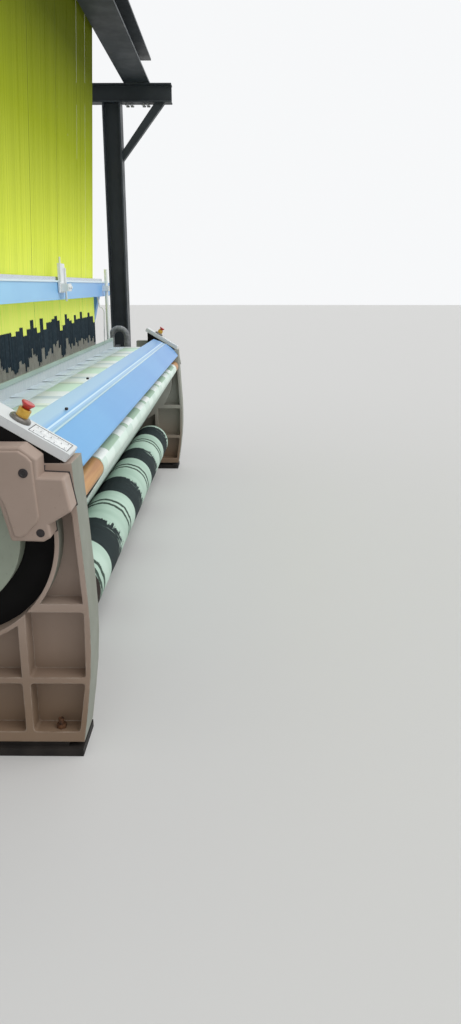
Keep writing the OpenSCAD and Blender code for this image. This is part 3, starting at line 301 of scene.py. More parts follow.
def stepped(outline, steps, side):
    """A plate with a stepped rim on a frame's outside: the outline is drawn in once for every
    (inset, x) step, a corner moving along its bisector by inset over the cosine of half its turn.
    The last loop is filled like a ladder, its first half's corners joined to its second half's,
    counted from the end."""
    outline = np.array(outline, float)
    ahead = np.roll(outline, -1, 0) - outline
    ahead /= np.linalg.norm(ahead, axis=1)[:, None]
    inward = np.stack([-ahead[:, 1], ahead[:, 0]], 1)
    before = np.roll(inward, 1, 0)
    slope = (inward + before) / (1 + (inward * before).sum(1))[:, None]
    loops = [place(side * x, *(outline + inset * slope).T) for inset, x in steps]
    n = len(outline)
    index = np.arange(n * len(steps)).reshape(len(steps), n)
    walls = np.stack([index[:-1], np.roll(index[:-1], -1, 1), np.roll(index[1:], -1, 1), index[1:]],
                     -1).reshape(-1, 4)
    first, second = index[-1][:n // 2], index[-1][::-1][:n // 2]
    rungs = np.stack([first[:-1], first[1:], second[1:], second[:-1]], 1)
    faces = np.concatenate([walls, rungs])
    return np.concatenate(loops), faces if side > 0 else faces[:, ::-1]


def rods(paths, across, up, radius, sides=6):
    """Many rods at once: round each point of each path stand the corners of a regular polygon,
    point + radius * (cos a * across + sin a * up), joined to the next point's and closed by flat
    fans at both ends. Across, up and the path's way make a right-handed set."""
    paths = np.array(paths, float)
    paths = paths if paths.ndim == 3 else paths[None]
    n, k = paths.shape[:2]
    turn = 2 * np.pi * (np.arange(sides) + 0.5) / sides
    across, up = np.array(across, float)[..., None, :], np.array(up, float)[..., None, :]
    ring = np.cos(turn)[:, None] * across + np.sin(turn)[:, None] * up
    radius = np.broadcast_to(np.array(radius, float), (n, k))[..., None, None]
    points = paths[:, :, None] + radius * ring
    index = np.arange(n * k * sides).reshape(n, k, sides)
    here, there = index[:, :-1], index[:, 1:]
    walls = np.stack([here, np.roll(here, -1, 2), np.roll(there, -1, 2), there], -1).reshape(-1, 4)
    fan = np.array([[0, j, j + 1, j + 2] for j in range(1, sides - 2, 2)])
    caps = [index[:, 0][:, fan[:, ::-1]].reshape(-1, 4), index[:, -1][:, fan].reshape(-1, 4)]
    return points.reshape(-1, 3), np.concatenate([walls, *caps])


def turned(line, sides, foot, way, across):
    """A profile of (distance, radius) turned about the way from a foot."""
    line = np.array(line)
    foot = np.array(foot)[..., None, :] + line[:, :1] * way
    return rods(foot, across, np.cross(way, across), line[:, 1], sides)


def bent_rod(line, radius, sides=6):
    """A rod along a line that bends across X: up is the line's way crossed with X."""
    way = np.gradient(line, axis=0)
    way /= np.linalg.norm(way, axis=1)[:, None]
    return rods(line, X, np.cross(way, X), radius, sides)


def mottled(name, roughness, code, other, scale, detail=4.0, stretch=None, **own):
    """A material of two near tones in cloudy patches."""
    made, shader, where = finish(name, roughness, **own)
    patches = cloud(where, scale, detail, stretch=stretch)
    feed(shader, Base_Color=mixed(patches, code, other))
    return made


X, Y, Z = np.eye(3)
both_ends = ((-1, "left"), (1, "right"))
body_line = [[0.348, 1.048], [0.1365, 1.048], [0.113, 1.032], [0.099, 1.0155],
             [0.0965, 0.960], [0.093, 0.905], [0.0895, 0.850], [0.096, 0.833],
             [0.113, 0.816], [0.130, 0.796], [0.150, 0.7865], [0.168, 0.791],
             [0.177, 0.830], [0.190, 0.885], [0.219, 0.952], [0.348, 0.988]]
step = [(0, 2.2545), (0.0005, 2.2565), (0.002, 2.259), (0.0048, 2.2605), (0.010, 2.2607)]
cover_bodies = together(stepped(body_line, step, 1), stepped(body_line, step, -1))
cover_paint = enamel("cover_paint", casting, 0.5, soil=0.14, far=casting_far_light_and_low_tone, shine=0.3)
build("cover_bodies", *cover_bodies, cover_paint, "casting_paint")
dress(cover_paint, "gear_covers")

plug_black = mottled("plug_black", 0.5, "1c1718", "2d2627", 90)
dress(plug_black, "cover_plugs")
# Painted shadow: the black bead along each cover's outline stands for the dark gap between cover and
# frame.
shadow_gap_x, shadow_gap_r, plug_x = 2.1752, 0.003, 2.2596
shadow_gap_line = np.array([[0.0845, 0.988], [0.0845, 0.9695], [0.012, 0.9665], [-0.006, 0.866],
                      [0.0628, 0.8245], [0.0598, 0.784], [0.0825, 0.7715], [0.178, 0.7735]])
for side, name in both_ends:
    shadow_gap_bead = bent_rod(place(side * shadow_gap_x, *shadow_gap_line.T), shadow_gap_r)
    build("cover_shadow_gap_" + name, *shadow_gap_bead, plug_black, "black_plastic", smooth=True)
plug_line = [[0.0, 0.014], [0.002, 0.014], [0.0034, 0.0128], [0.0036, 0.0085],
             [0.0018, 0.007], [0.0016, 0.001]]
for side, name in both_ends:
    plug = turned(plug_line, 24, place(side * plug_x, 0.126, 0.983), side * X, side * Y)
    build("oil_plug_" + name, *plug, plug_black, "black_plastic")


# Guards of the main gear: a black sheet plate on the bottom of the round recess and a spun pale
# green-grey dome in front of the gear.
dress(enamel("guard_paint", "9aa393", 0.45, soil=0.22, edge=0.004, edge_wear_and_highlight="6c7266"), "round_guards")
dress(enamel("black_sheet", "0c0b0b", 0.6, soil=0.3, edge=0.002, shine=0.15), "inner_guards")


# Drive: ground steel shafts, hobbed gears dark with grease, the upright shaft to the jacquard head,
# and the ribbed motor with its fan cowl.
def steel(name, code, roughness, stretch, marks=0.35):
    """Turned or ground steel: noise stretched along the cut gives fine lines in colour and bump."""
    made, shader, where = finish(name, roughness, Metallic=1.0)
    lines = cloud(where, 60, 5, 0.3, 0.7, stretch)
    tone = mixed(times(lines, marks), code, shade(code, 0.45))
    stain = times(cloud(where, 5, 6, 0.5, 0.75), marks)
    feed(shader, Base_Color=mixed(stain, tone, shade(code, 0.3)),
         Roughness=spread(lines, 0, 1, roughness - 0.06, roughness + 0.15),
         Normal=relief(lines, 0.2, 0.0004, Normal=rounded(shader, 0.001)))
    return made


turned_steel = steel("turned_steel", "a9abad", 0.34, (0.4, 12, 12))
dress(steel("gear_steel", "84868a", 0.42, (6, 6, 6), 0.6), "main_shaft", "motor_pinion")
dress(steel("upright_steel", "a9abad", 0.36, (12, 12, 0.4)), "cardan_shaft")
motor_black = enamel("motor_black", "1d1e20", 0.4, soil=0.2, edge=0.0015, edge_wear_and_highlight="54565a")
dress(motor_black, "main_motor")

cowl_x, motor_axis = 2.422, (0.510, 0.604115)
cowl_line = [[0, 0.1005], [0.004, 0.103], [0.062, 0.103], [0.070, 0.099],
             [0.074, 0.088], [0.0745, 0.030], [0.078, 0.028], [0.078, 0.004]]
cowl = turned(cowl_line, 48, place(cowl_x, *motor_axis), X, Y)
build("fan_cowl", *cowl, motor_black, "black_steel")


# Rollers: the take-up roller with its grained rubber cover, the steel press roller, the guide
# roller with a smooth tan cover, and the dark tube that the cloth is wound on.
rubber, shader, where = finish("grained_rubber", 0.75)
grain = add("TexVoronoi", {"Vector": where, "Scale": 320})
feed(shader, Base_Color=mixed(cloud(where, 12), "3d4042", "54575a"),
     Normal=relief(grain, 0.6, 0.0015))
dress(rubber, "take_up_roller")
dress(turned_steel, "press_roller", "whip_roller", "lift_bars_a", "lift_bars_b")
tan_cover, shader, where = finish("tan_cover", 0.45)
tan = mixed(cloud(where, 14, 6, stretch=(0.15, 3, 3)), "c8975c", "a9743f")
feed(shader, Base_Color=tan, Normal=relief(cloud(where, 60, 4, stretch=(0.2, 2, 2)), 0.15, 0.0005))
dress(tan_cover, "guide_roller")
dress(enamel("tube_brown", "3a2f2a", 0.5, edge=0.002, edge_wear_and_highlight="6f655e"), "cloth_beam")


# Reed: flat steel wires between two bound baulks, 4.8 mm apart, standing in the sley's groove.
# The baulks and the wide end wires are painted.
def boxes(lows, highs):
    """Rectangular blocks: each low corner plus a unit cube's corners times the block's size."""
    lows = np.array(lows, float).reshape(-1, 1, 3)
    highs = np.array(highs, float).reshape(-1, 1, 3)
    unit = np.array([[0, 0, 0], [1, 0, 0], [1, 1, 0], [0, 1, 0],
                     [0, 0, 1], [1, 0, 1], [1, 1, 1], [0, 1, 1]])
    sides = np.array([[0, 3, 2, 1], [4, 5, 6, 7], [0, 1, 5, 4], [1, 2, 6, 5], [2, 3, 7, 6],
                      [3, 0, 4, 7]])
    return ((lows + unit * (highs - lows)).reshape(-1, 3),
            (sides + 8 * np.arange(len(lows))[:, None, None]).reshape(-1, 4))


warp_left, warp_right = -1.665, 1.791
end_wire, reed_depth, baulk_half = 0.012, 0.500, 0.006
reed_left, reed_right = warp_left - end_wire, warp_right + end_wire
under, wire_low, wire_high, over = 0.965, 0.985, 1.085, 1.105
baulks = boxes(place([reed_left, reed_left, reed_left, warp_right], reed_depth - baulk_half,
                     [under, wire_high, wire_low, wire_low]),
               place([reed_right, reed_right, warp_left, reed_right], reed_depth + baulk_half,
                     [wire_low, over, wire_high, wire_high]))
baulk_paint = enamel("baulk_paint", "a9bfb6", 0.4, soil=0.2, edge=0.002)
reed = build("reed_baulks", *baulks, baulk_paint, "bare_steel", "sley")
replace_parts(reed, "reed")
wire_pitch, dents, wire_half, wire_deep = 0.0048, 720, 0.00025, 0.0045
wire_x = warp_left + wire_pitch * np.arange(dents + 1)
wires = boxes(place(wire_x - wire_half, reed_depth - wire_deep, wire_low - 0.001),
              place(wire_x + wire_half, reed_depth + wire_deep, wire_high + 0.001))
# The wires are painted near white, paler than their steel: painted light that makes up for the shade
# among the close wires.
reed_steel = mottled("reed_steel", 0.45, "f8fdfe", "e3edf0", 30, stretch=(8, 8, 0.4))
build("reed_wires", *wires, reed_steel, "bare_steel", "sley")


# Rapiers: dark machined heads parked outside the reed, each on a perforated tape that a light alloy
# wheel drives; the tape's free end runs down and back under the machine in a track.
def led(stops, fine=6.0):
    """The line of a sheet led round rollers, and its left normals. Between rollers it takes their
    common tangent, whose angle is that of the line of centres less the arc sine of the difference
    of the signed radii over the distance; on a roller it turns in equal steps."""
    def leave(a, b):
        """Angle of the common tangent of two stops."""
        way = np.subtract(b[:2], a[:2])
        return np.degrees(np.arctan2(way[1], way[0])
                          - np.arcsin((a[3] * a[2] - b[3] * b[2]) / np.hypot(*way)))
    angles = [leave(a, b) for a, b in zip(stops, stops[1:])]
    turns = [0.0] + [(out - into) % 360 if stop[3] < 0 else -((into - out) % 360)
                     for into, out, stop in zip(angles, angles[1:], stops[1:])] + [0.0]
    line, normals = [], []
    for stop, into, turn in zip(stops, [angles[0]] + angles, turns):
        steps = int(np.ceil(abs(turn) / fine))
        way = np.radians(into + turn * np.arange(steps + 1) / max(steps, 1))
        normal = np.stack([-np.sin(way), np.cos(way)], 1)
        line.append(np.array(stop[:2]) + stop[3] * stop[2] * normal)
        normals.append(normal)
    return np.concatenate(line), np.concatenate(normals)


def passed(line):
    """The length passed at each point of a line: the running sum of its steps."""
    return np.concatenate([[0], np.cumsum(np.linalg.norm(np.diff(line, axis=0), axis=1))])


def lay(piece, flat):
    """Lays a pattern's own coordinates on a piece: every face corner takes its point's pair."""
    corner = np.empty(len(piece.data.loops), np.int32)
    piece.data.loops.foreach_get("vertex_index", corner)
    flat = np.array(flat, np.float32).reshape(-1, 2)[corner]
    piece.data.uv_layers.new(name="flat").data.foreach_set("uv", flat.ravel())


def shared(piece, start, end):
    """Computes the start's and the end's places, which are not kept, and bakes the piece's placing
    into its mesh.
    """
    tuple(place(*start))
    tuple(place(*end))
    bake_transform(piece)


dress(steel("rapier_dark", "5e6064", 0.38, (0.5, 8, 8)), "rapier_left", "rapier_right")
dress(steel("wheel_alloy", "b4b6b8", 0.4, (6, 6, 6), 0.3), "rapier_wheel_left",
      "rapier_wheel_right")

wheel_x, wheel_z, lap, bend = 1.914, 0.9247, 0.10155, 0.090
tape_line, tape_normal = led([[wheel_x - 0.001, wheel_z + lap, 0, 1], [wheel_x, wheel_z, lap, 1],
                              [wheel_x + lap - bend, 0.240, bend, 1],
                              [wheel_x - 0.760, 0.150, 0, 1]])
tape_depth, tape_half, tape_thin, hole_half = 0.470, 0.009, 0.00125, 0.009
tape_steel, shader, where = finish("tape_steel", 0.4, Metallic=0.6)
flat = where.node.outputs["UV"]
along = maths("PINGPONG", axis(flat, "X"), hole_half)
off = maths("SQRT", maths("ADD", maths("POWER", along, 2.0), maths("POWER", axis(flat, "Y"), 2.0)))
feed(shader, Base_Color=mixed(spread(off, 0.0034, 0.003),
                              mixed(cloud(where, 30), "8d8f92", "6a6c70"), "151617"))
for side, name in both_ends:
    run = passed(tape_line)
    loop = np.concatenate([tape_line + tape_thin * tape_normal,
                           (tape_line - tape_thin * tape_normal)[::-1]])
    length = np.concatenate([run, run[::-1]])
    edges = np.stack([place(side * loop[:, 0], tape_depth + w, loop[:, 1])
                      for w in (-tape_half, tape_half)])
    n = len(loop)
    index = np.arange(2 * n).reshape(2, n)
    skin = np.stack([index[0], np.roll(index[0], -1), np.roll(index[1], -1), index[1]], 1)
    half = np.arange(n // 2 - 1)
    near = np.stack([half, half + 1, n - 2 - half, n - 1 - half], 1)
    faces = np.concatenate([skin[:, ::-1], near, near[:, ::-1] + n])
    tape = build("tape_" + name + "_run", edges, faces if side > 0 else faces[:, ::-1], tape_steel,
                 "spring_steel")
    lay(tape, np.stack([np.stack([length, np.full(n, w)], 1) for w in (-tape_half, tape_half)]))
    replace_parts(tape, "tape_" + name)
    ends = side * np.array([1.9035, 1.9135])
    low, high = (place(x, tape_depth + way * tape_half, wheel_z + lap + way * 0.0012)
                 for x, way in zip(np.sort(ends), (-1, 1)))
    points, faces = boxes(low, high)
    stub = build("tape_" + name + "_reach", points, faces, tape_steel, "spring_steel", None)
    lay(stub, np.stack([points[:, 0], points[:, 1] + mid_depth - tape_depth], 1))
    shared(stub, (ends[1], tape_depth, 1.02),
           (ends[0], tape_depth, 1.02))


# Warp beam: flanged tube with the wound warp, the warp sheet led over the whip roller, and the drop
# wires that ride on the threads and stop the loom when one breaks.
def wound(centre, radius, xs, bore, sides=96):
    """A wound package: rings at distances xs round the axis, closed down to the bore at both ends
    and through it. Each point is centre + radius * (cos a, sin a) in depth and height."""
    xs = np.concatenate([xs[:1], xs, xs[-1:]])
    radius = np.concatenate([[bore], np.broadcast_to(radius, len(xs) - 2), [bore]])
    turn = 2 * np.pi * np.arange(sides) / sides
    points = place(xs[:, None], centre[0] + radius[:, None] * np.cos(turn),
                   centre[1] + radius[:, None] * np.sin(turn))
    index = np.arange(points.shape[0] * sides).reshape(-1, sides)
    faces = np.stack([index, np.roll(index, -1, 1), np.roll(np.roll(index, -1, 0), -1, 1),
                      np.roll(index, -1, 0)], -1).reshape(-1, 4)
    flat = np.stack(np.broadcast_arrays(xs[:, None], turn * radius.max()), -1)
    return points, faces, flat


def hung(name, line, run, xs, flip, made, slot, layer):
    """A thin sheet along a line of depths and heights, as wide as xs: a grid of points, each joined
    to its neighbours both ways, with the distance passed laid on it and its thickness added."""
    points = place(xs[:, None], line[:, 0], line[:, 1])
    index = np.arange(len(xs) * len(line)).reshape(len(xs), len(line))
    faces = np.stack([index[:-1, :-1], index[1:, :-1], index[1:, 1:], index[:-1, 1:]],
                     -1).reshape(-1, 4)
    piece = build(name, points, faces[:, ::-1] if flip else faces, made, slot, smooth=True)
    lay(piece, np.stack(np.broadcast_arrays(xs[:, None], run), -1))
    thick = piece.modifiers.new(layer, "SOLIDIFY")
    thick.thickness, thick.offset = sheet_thick, 0
    return piece


warp_axis, warp_r, whip_axis, warp_z = (1.500, 0.480), 0.330, (1.450, 0.9591), 1.035
whip_r, sheet_thick, sheet_off, rail_depth = 0.075, 0.0012, 0.0009, 1.130
yarn, shader, where = finish("warp_yarn", 0.75, Sheen_Weight=0.3)
flat = where.node.outputs["UV"]
ends = noise(flat, 1.0, 2.0, (900, 6, 1))
tone = mixed(spread(ends, 0.35, 0.65), "d5d9d4", "f1f3ee")
faint = times(cloud(flat, 1.0, 3, 0.4, 0.7, (9, 0.6, 1)), 0.35)
feed(shader, Base_Color=mixed(faint, tone, "b9c4bf"), Normal=relief(ends, 0.5, 0.0008))
roll_x = np.linspace(warp_left, warp_right, 121)
points, faces, flat = wound(warp_axis, warp_r - 0.0008 + 0.0007 * np.cos(roll_x * 9), roll_x,
                            0.0805, 128)
piece = build("wound_warp", points, faces, yarn, "warp_yarn", "warp_roller", smooth=True)
lay(piece, flat)
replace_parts(piece, "warp_roll")
dress(enamel("beam_flange_grey", "787c80", 0.45, edge_wear_and_highlight="a3a6a8"), "warp_beam")

back_line = led([[rail_depth, warp_z, 0, 1], [*whip_axis, whip_r + sheet_off, 1],
                 [*warp_axis, warp_r + sheet_off, 1]], 4)[0]
back_run = passed(back_line)
sheet_x = np.linspace(warp_left + 0.0024, warp_right - 0.0024, 49)
piece = hung("warp_sheet", back_line, back_run, sheet_x, False, yarn, "warp_yarn", "yarns")
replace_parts(piece, "warp_back")

band_pitch, bands = 0.144, 24
drop_x = (warp_left + band_pitch * np.arange(bands)[:, None] + 0.0045
          + 0.009 * np.arange(16)).ravel()
drop_depth, drop_half = np.array([1.165, 1.205, 1.245]), 0.0002
x, depth = (v.ravel() for v in np.meshgrid(drop_x, drop_depth))
parts = []
for a, b, low, high in ((-0.0055, 0.0055, 0.975, 1.032), (-0.0055, -0.0038, 1.032, 1.103),
                        (0.0038, 0.0055, 1.032, 1.103), (-0.0055, 0.0055, 1.092, 1.107)):
    parts.append(boxes(place(x - drop_half, depth + a, low), place(x + drop_half, depth + b, high)))
drop_steel = steel("drop_steel", "a5a8aa", 0.35, (8, 8, 0.5))
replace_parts(build("drop_wire_plates", *together(*parts), drop_steel, "spring_steel"), "drop_wires")
rail_end, rail_out = 2.025, 2.085
rails = together(boxes(place(0.0002 - rail_end, drop_depth - 0.003, 1.055),
                       place(rail_end - 0.0002, drop_depth - 0.001, 1.089)),
                 boxes(place([-rail_out, rail_end], 1.140, 0.960),
                       place([-rail_end, rail_out], 1.270, 1.105)))
build("drop_wire_rails", *rails, turned_steel, "spring_steel")


# Heddles: wires with an eye for one thread each. A dark plastic sleeve covers the upper part, where
# the cord is tied on, and a pull spring returns each from the rail below. Bands lift alternately.
pick = np.random.default_rng(7)
band_x = warp_left + band_pitch * np.arange(bands)
cord_gap, first_row, row_gap, group_gap = 0.004, 0.631, 0.0666, 0.0015
hook_low, spring_low, sleeve_long = 0.806, 0.560, 0.165
row = np.arange(4)
lift = dict(a=0.015, b=-0.015)
hang = {}
for group, ab in enumerate("ab"):
    x = (band_x[group::2, None, None] + 0.002 + np.arange(36) * cord_gap
         + (row[:, None] - 1.5) * cord_gap / 4)
    steps = np.repeat(pick.choice([-0.050, -0.030, 0.0, 0.0, 0.015, 0.015], (12, 1, 2)), 18, 2)
    top = (1.292 + lift[ab] + np.broadcast_to(steps, x.shape)
           + pick.uniform(-0.0015, 0.0015, x.shape))
    wide = np.repeat(pick.choice([-0.020, 0.0, 0.014], (12, 1, 3)), 12, 2)
    foot = top - sleeve_long + wide + pick.uniform(-0.005, 0.005, top.shape)
    depth = np.broadcast_to((first_row + group_gap * group + row_gap * row)[:, None], x.shape)
    hang[ab] = [v.ravel() for v in (x, depth, top, foot)]


def tinted(piece, share, corners):
    """Gives every strand its own shade: one number a strand, repeated over its corner points."""
    layer = piece.data.attributes.new("tint", "FLOAT", "POINT")
    layer.data.foreach_set("value", np.repeat(share, corners).astype(np.float32))


sleeve, shader, where = finish("heddle_sleeve", 0.5, shine=0.15)
own_shade = add("Attribute", out="Fac", tree=shader.id_data, attribute_name="tint")
dusty = times(cloud(where, 60, 3, 0.5, 0.7), 0.2)
feed(shader, Base_Color=mixed(dusty, mixed(own_shade, "18232b", "2f414b"), "56636a"))
heddle_wire = mottled("heddle_wire", 0.4, "d6d3ca", "aaa49a", 40, stretch=(8, 8, 0.5),
                      Metallic=0.35)
spring_wire, shader, where = finish("spring_wire", 0.4, Metallic=0.9)
coil_half = 0.0011
coils = maths("PINGPONG", axis(where, "Z"), coil_half)
feed(shader, Base_Color=mixed(spread(coils, 0.0, coil_half), "3c3d3f", "b5b6b8"))
for ab, (x, depth, top, foot) in hang.items():
    body = "lift_" + ab
    line = np.stack([place(x, depth, z) for z in (foot, foot + 0.006, top - 0.010, top)], 1)
    piece = build("heddle_sleeves_" + ab, *rods(line, X, Y, [0.0009, 0.0017, 0.0017, 0.001]),
                  sleeve, "heddle_dark", body)
    tinted(piece, pick.random(len(x)) ** 2, 24)
    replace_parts(piece, "heddles_" + ab)
    line = np.stack([place(x, depth, hook_low), place(x, depth, foot + 0.002)], 1)
    build("heddle_wires_" + ab, *rods(line, X, Y, 0.0006, 4), heddle_wire, "heddle_dark", body)
    line = np.stack([place(x, depth, spring_low), place(x, depth, hook_low)], 1)
    piece = build("pull_springs_" + ab, *rods(line, X, Y, 0.0013, 4), spring_wire, "spring_steel",
                  None)
    shared(piece, (0, 0.73, spring_low), (0, 0.73, hook_low))
    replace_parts(piece, "springs_" + ab)


# Harness: twisted lime cords, one to a heddle, straight up through the comber board and then
# spreading to the hooks of the jacquard head. They glow faintly in their own colour, painted light
# that lifts them where the dense cords shade each other, and they are painted darker the higher
# they stand, painted shade of the beams and head above.
board_top, spread_high, hook_high, top_row, top_gap = 1.550, 1.750, 3.520, 0.546, 0.1666
# Painted light: a faint glow of the cords' own colour.
lime, shader, where = finish("lime_cord", 0.75, shine=0.1, Emission_Strength=0.2)
own_shade = add("Attribute", out="Fac", tree=shader.id_data, attribute_name="tint")
# Painted shade: the cords are painted brightest low down and darker the higher they stand, for the
# shade of the beams and head above.
height = axis(where, "Z")
tone = mixed(spread(height, 1.30, 1.75), "f3fb84", "e0e95e")
tone = mixed(spread(height, 1.75, 2.35), tone, "a6b22c")
tone = mixed(spread(height, 2.35, 2.95), tone, "656e18")
tone = mixed(spread(own_shade, 0.0, 1.0, 0.0, 0.6), tone,
             mixed(1.0, tone, (0.52, 0.58, 0.36, 1), "MULTIPLY"))
tone = mixed(spread(own_shade, 0.985, 0.99), tone, "3c4a22")
feed(shader, Base_Color=tone, Emission_Color=tone)
for group, (ab, (x, depth, top, foot)) in enumerate(hang.items()):
    high = (top_row + group_gap * group
            + (depth - first_row - group_gap * group) * (top_gap / row_gap))
    line = [place(x, depth, z) for z in (top - 0.004, board_top - 0.020, board_top)]
    line += [place(x, depth + (high - depth) * t, board_top + spread_high * t)
             for t in (0.34, 0.67, 1.0)]
    line.append(place(x, high, hook_high))
    piece = build("harness_cords_" + ab, *rods(np.stack(line, 1), X, Y, 0.0011, 4), lime,
                  "cord_lime", "lift_" + ab)
    tinted(piece, pick.random(len(x)) ** 3, 28)
    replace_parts(piece, "harness_" + ab)

board, shader, where = finish("comber_board_grey", 0.6)
holes = spread(add("TexVoronoi", {"Vector": where, "Scale": 240}), 0.35, 0.25)
feed(shader, Base_Color=mixed(holes, "d3d9e2", "84878f"))
dress(board, "comber_board")


# Warp in the shed: four threads to a reed dent, from the fell through the reed to the heddle eyes
# and back to the drop wires.
thread = mottled("warp_thread", 0.7, "dfeaf0", "cddde5", 3, 3, (40, 0.2, 0.2))
fell, fore_end, middle, aft_end, thread_r = 0.3985, 0.610, 0.735, 0.8598, 0.00055
for group, ab in enumerate("ab"):
    body, raised = "lift_" + ab, warp_z + lift[ab]
    x = (band_x[group::2, None] + 0.0012 * (np.arange(120) + 0.5)).ravel()
    x = x[np.abs((x - warp_left) % band_pitch - band_pitch / 2) < 0.0715]
    fore = np.stack([place(x, fell, warp_z), place(x, reed_depth, warp_z + lift[ab] / 6),
                     place(x, fore_end, raised), place(x, middle, raised)], 1)
    aft = np.stack([place(x, middle, raised), place(x, aft_end, raised),
                    place(x, rail_depth, warp_z)], 1)
    piece = build("shed_fore_" + ab, *rods(fore, Z, X, thread_r, 4), thread, "warp_yarn", None)
    shared(piece, (0, fell, warp_z), (0, fore_end, warp_z))
    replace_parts(piece, "warp_shed_" + ab)
    piece = build("shed_aft_" + ab, *rods(aft, Z, X, thread_r, 4), thread, "warp_yarn", None)
    shared(piece, (0, aft_end, warp_z), (0, rail_depth, warp_z))


# Cloth: pale green and white stripes woven with plain blocks, from the fell over the breast bar and
# between the take-up rollers to the roll. Brass-ringed temples hold its edges.
guide_axis, guide_r, roll_axis = (0.040, 0.860), 0.040, (0.215, 0.275)
cloth_line = led([[0.398, warp_z, 0, -1], [0.285, 1.0191, 0.015 + sheet_off, -1],
                  [0.190, 0.905, 0.075 + sheet_off, 1], [0.110663, 0.825663, 0.035 + sheet_off, -1],
                  [*guide_axis, guide_r + sheet_off, -1], [*roll_axis, 0.135 + sheet_off, 1]])[0]
cloth_run = passed(cloth_line)
from_guide = np.linalg.norm(cloth_line - guide_axis, axis=1)
on_guide = np.nonzero(np.abs(from_guide - guide_r - sheet_off) < 0.0002)[0]
strip_end = float(cloth_run[on_guide[-1]])


def stripes(x, start, period, parts):
    """Colours that repeat along the loom: the share of the period passed since start, taken to
    the colour of the part it falls in. Parts are (share, colour)."""
    share = maths("FRACT", maths("DIVIDE", maths("SUBTRACT", x, start), period))
    ramp = share.id_data.nodes.new("ShaderNodeValToRGB")
    ramp.color_ramp.interpolation = "CONSTANT"
    while len(ramp.color_ramp.elements) < len(parts):
        ramp.color_ramp.elements.new(0.5)
    for stop, (position, code) in zip(ramp.color_ramp.elements, parts):
        stop.position, stop.color = position, linear(code)
    share.id_data.links.new(share, ramp.inputs[0])
    return ramp.outputs[0]


woven, shader, where = finish("woven_cloth", 0.7, Sheen_Weight=0.1)
flat = where.node.outputs["UV"]
run = axis(flat, "Y")
waver = maths("SUBTRACT", noise(flat, 18.0, 3.0), 0.5)
x = maths("ADD", axis(flat, "X"), times(waver, 0.012))
top_side = stripes(x, -1.25, 0.745, [(0.0, "f0f8ff"), (0.18, "d0deea"), (0.29, "f4faff"),
                                     (0.50, "d9f4e6"), (0.86, "c9dcd2"), (0.93, "eef6f1")])
front_side = stripes(x, -1.49, 0.72, [(0.0, "a2bfa6"), (0.40, "eaf2ec"), (0.56, "dbe7de"),
                                      (0.68, "a9c4ad"), (0.77, "f1f7f2")])
low_side = stripes(x, -1.25, 0.72,
                   [(0.0, "dcefe4"), (0.3, "cfe3d8"), (0.55, "e2f2e9"), (0.8, "d2e6db")])
tone = mixed(spread(run, 0.16, 0.17), top_side, front_side)
tone = mixed(spread(run, strip_end - 0.055, strip_end - 0.050), tone, low_side)
picks = noise(flat, 1.0, 2.0, (60, 700, 1))
feed(shader, Base_Color=mixed(spread(picks, 0.4, 0.7, 0.0, 0.10), tone, "8fa59a"),
     Normal=relief(picks, 0.35, 0.0005))
cloth_x = np.linspace(warp_left, warp_right, 97)
piece = hung("cloth_web", cloth_line, cloth_run, cloth_x, True, woven, "cloth_green", "weave")
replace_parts(piece, "cloth_sheet")
dress(mottled("temple_brass", 0.35, "b39a5a", "7d6a3b", 50, Metallic=1.0), "temples")

repeat = 0.845
rolled, shader, where = finish("rolled_cloth", 0.8, shine=0.15)
flat = where.node.outputs["UV"]
x, around = axis(flat, "X"), axis(flat, "Y")
share = maths("FRACT", maths("DIVIDE", maths("ADD", x, 1.125), repeat))
torn = noise(flat, 1.0, 5.0, (8, 60, 1), Roughness=0.65)
ragged = times(spread(around, 0.24, 0.33, 0.05, 1.0), spread(torn, 0.3, 0.7, -0.09, 0.11))
dark = spread(maths("ADD", share, ragged), 0.388, 0.384)
jag = noise(flat, 1.0, 4.0, (60, 8, 1), Roughness=0.6)
streak = times(spread(jag, 0.60, 0.63), spread(share, 0.22, 0.32))
streak = times(streak, spread(around, 0.26, 0.33))
dark = times(dark, maths("SUBTRACT", 1.0, streak))
# Painted shade: past the near end mark the roll is all dark, standing in for its shaded end face.
dark = maths("MAXIMUM", dark, spread(x, -1.408, -1.412))
swing = spread(noise(flat, 1.0, 3.0, (3, 22, 1)), 0.3, 0.7, -0.010, 0.010)
swing = maths("ADD", share, swing)
rings = maths("MINIMUM",
              *(maths("ABSOLUTE", maths("SUBTRACT", swing, ring)) for ring in (0.692, 0.778)))
specks = times(cloud(flat, 95, 2, 0.70, 0.72), spread(rings, 0.055, 0.045))
rings = times(spread(rings, 0.0215, 0.0185), spread(noise(flat, 60.0, 3.0), 0.27, 0.38))
rings = maths("MAXIMUM", rings, specks)
turns = noise(flat, 1.0, 2.0, (420, 5, 1))
pale = mixed(cloud(flat, 1.0, 4, stretch=(5, 1.2, 1)), "aac4b5", "c4dacd")
pale = mixed(spread(turns, 0.4, 0.7, 0.0, 0.2), pale, "93ab9d")
deep = mixed(spread(turns, 0.35, 0.7), "1d2526", "303b3d")
# Painted shade: that near end's dark is browner, as the shaded end face.
deep = mixed(spread(x, -1.406, -1.412), deep, "2a221e")
feed(shader, Base_Color=mixed(dark, mixed(rings, pale, "3f4e45"), deep),
     Normal=relief(turns, 0.4, 0.0012))
roll_x = np.linspace(warp_left, warp_right, 161)
swell = 0.134 + 0.0006 * np.cos(2 * np.pi * roll_x / repeat) + 0.0004 * np.sin(roll_x * 31)
points, faces, flat = wound(roll_axis, swell, roll_x, 0.0503, 112)
piece = build("rolled_cloth", points, faces, rolled, "cloth_dark", "cloth_roller", smooth=True)
lay(piece, flat)
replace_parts(piece, "cloth_roll")


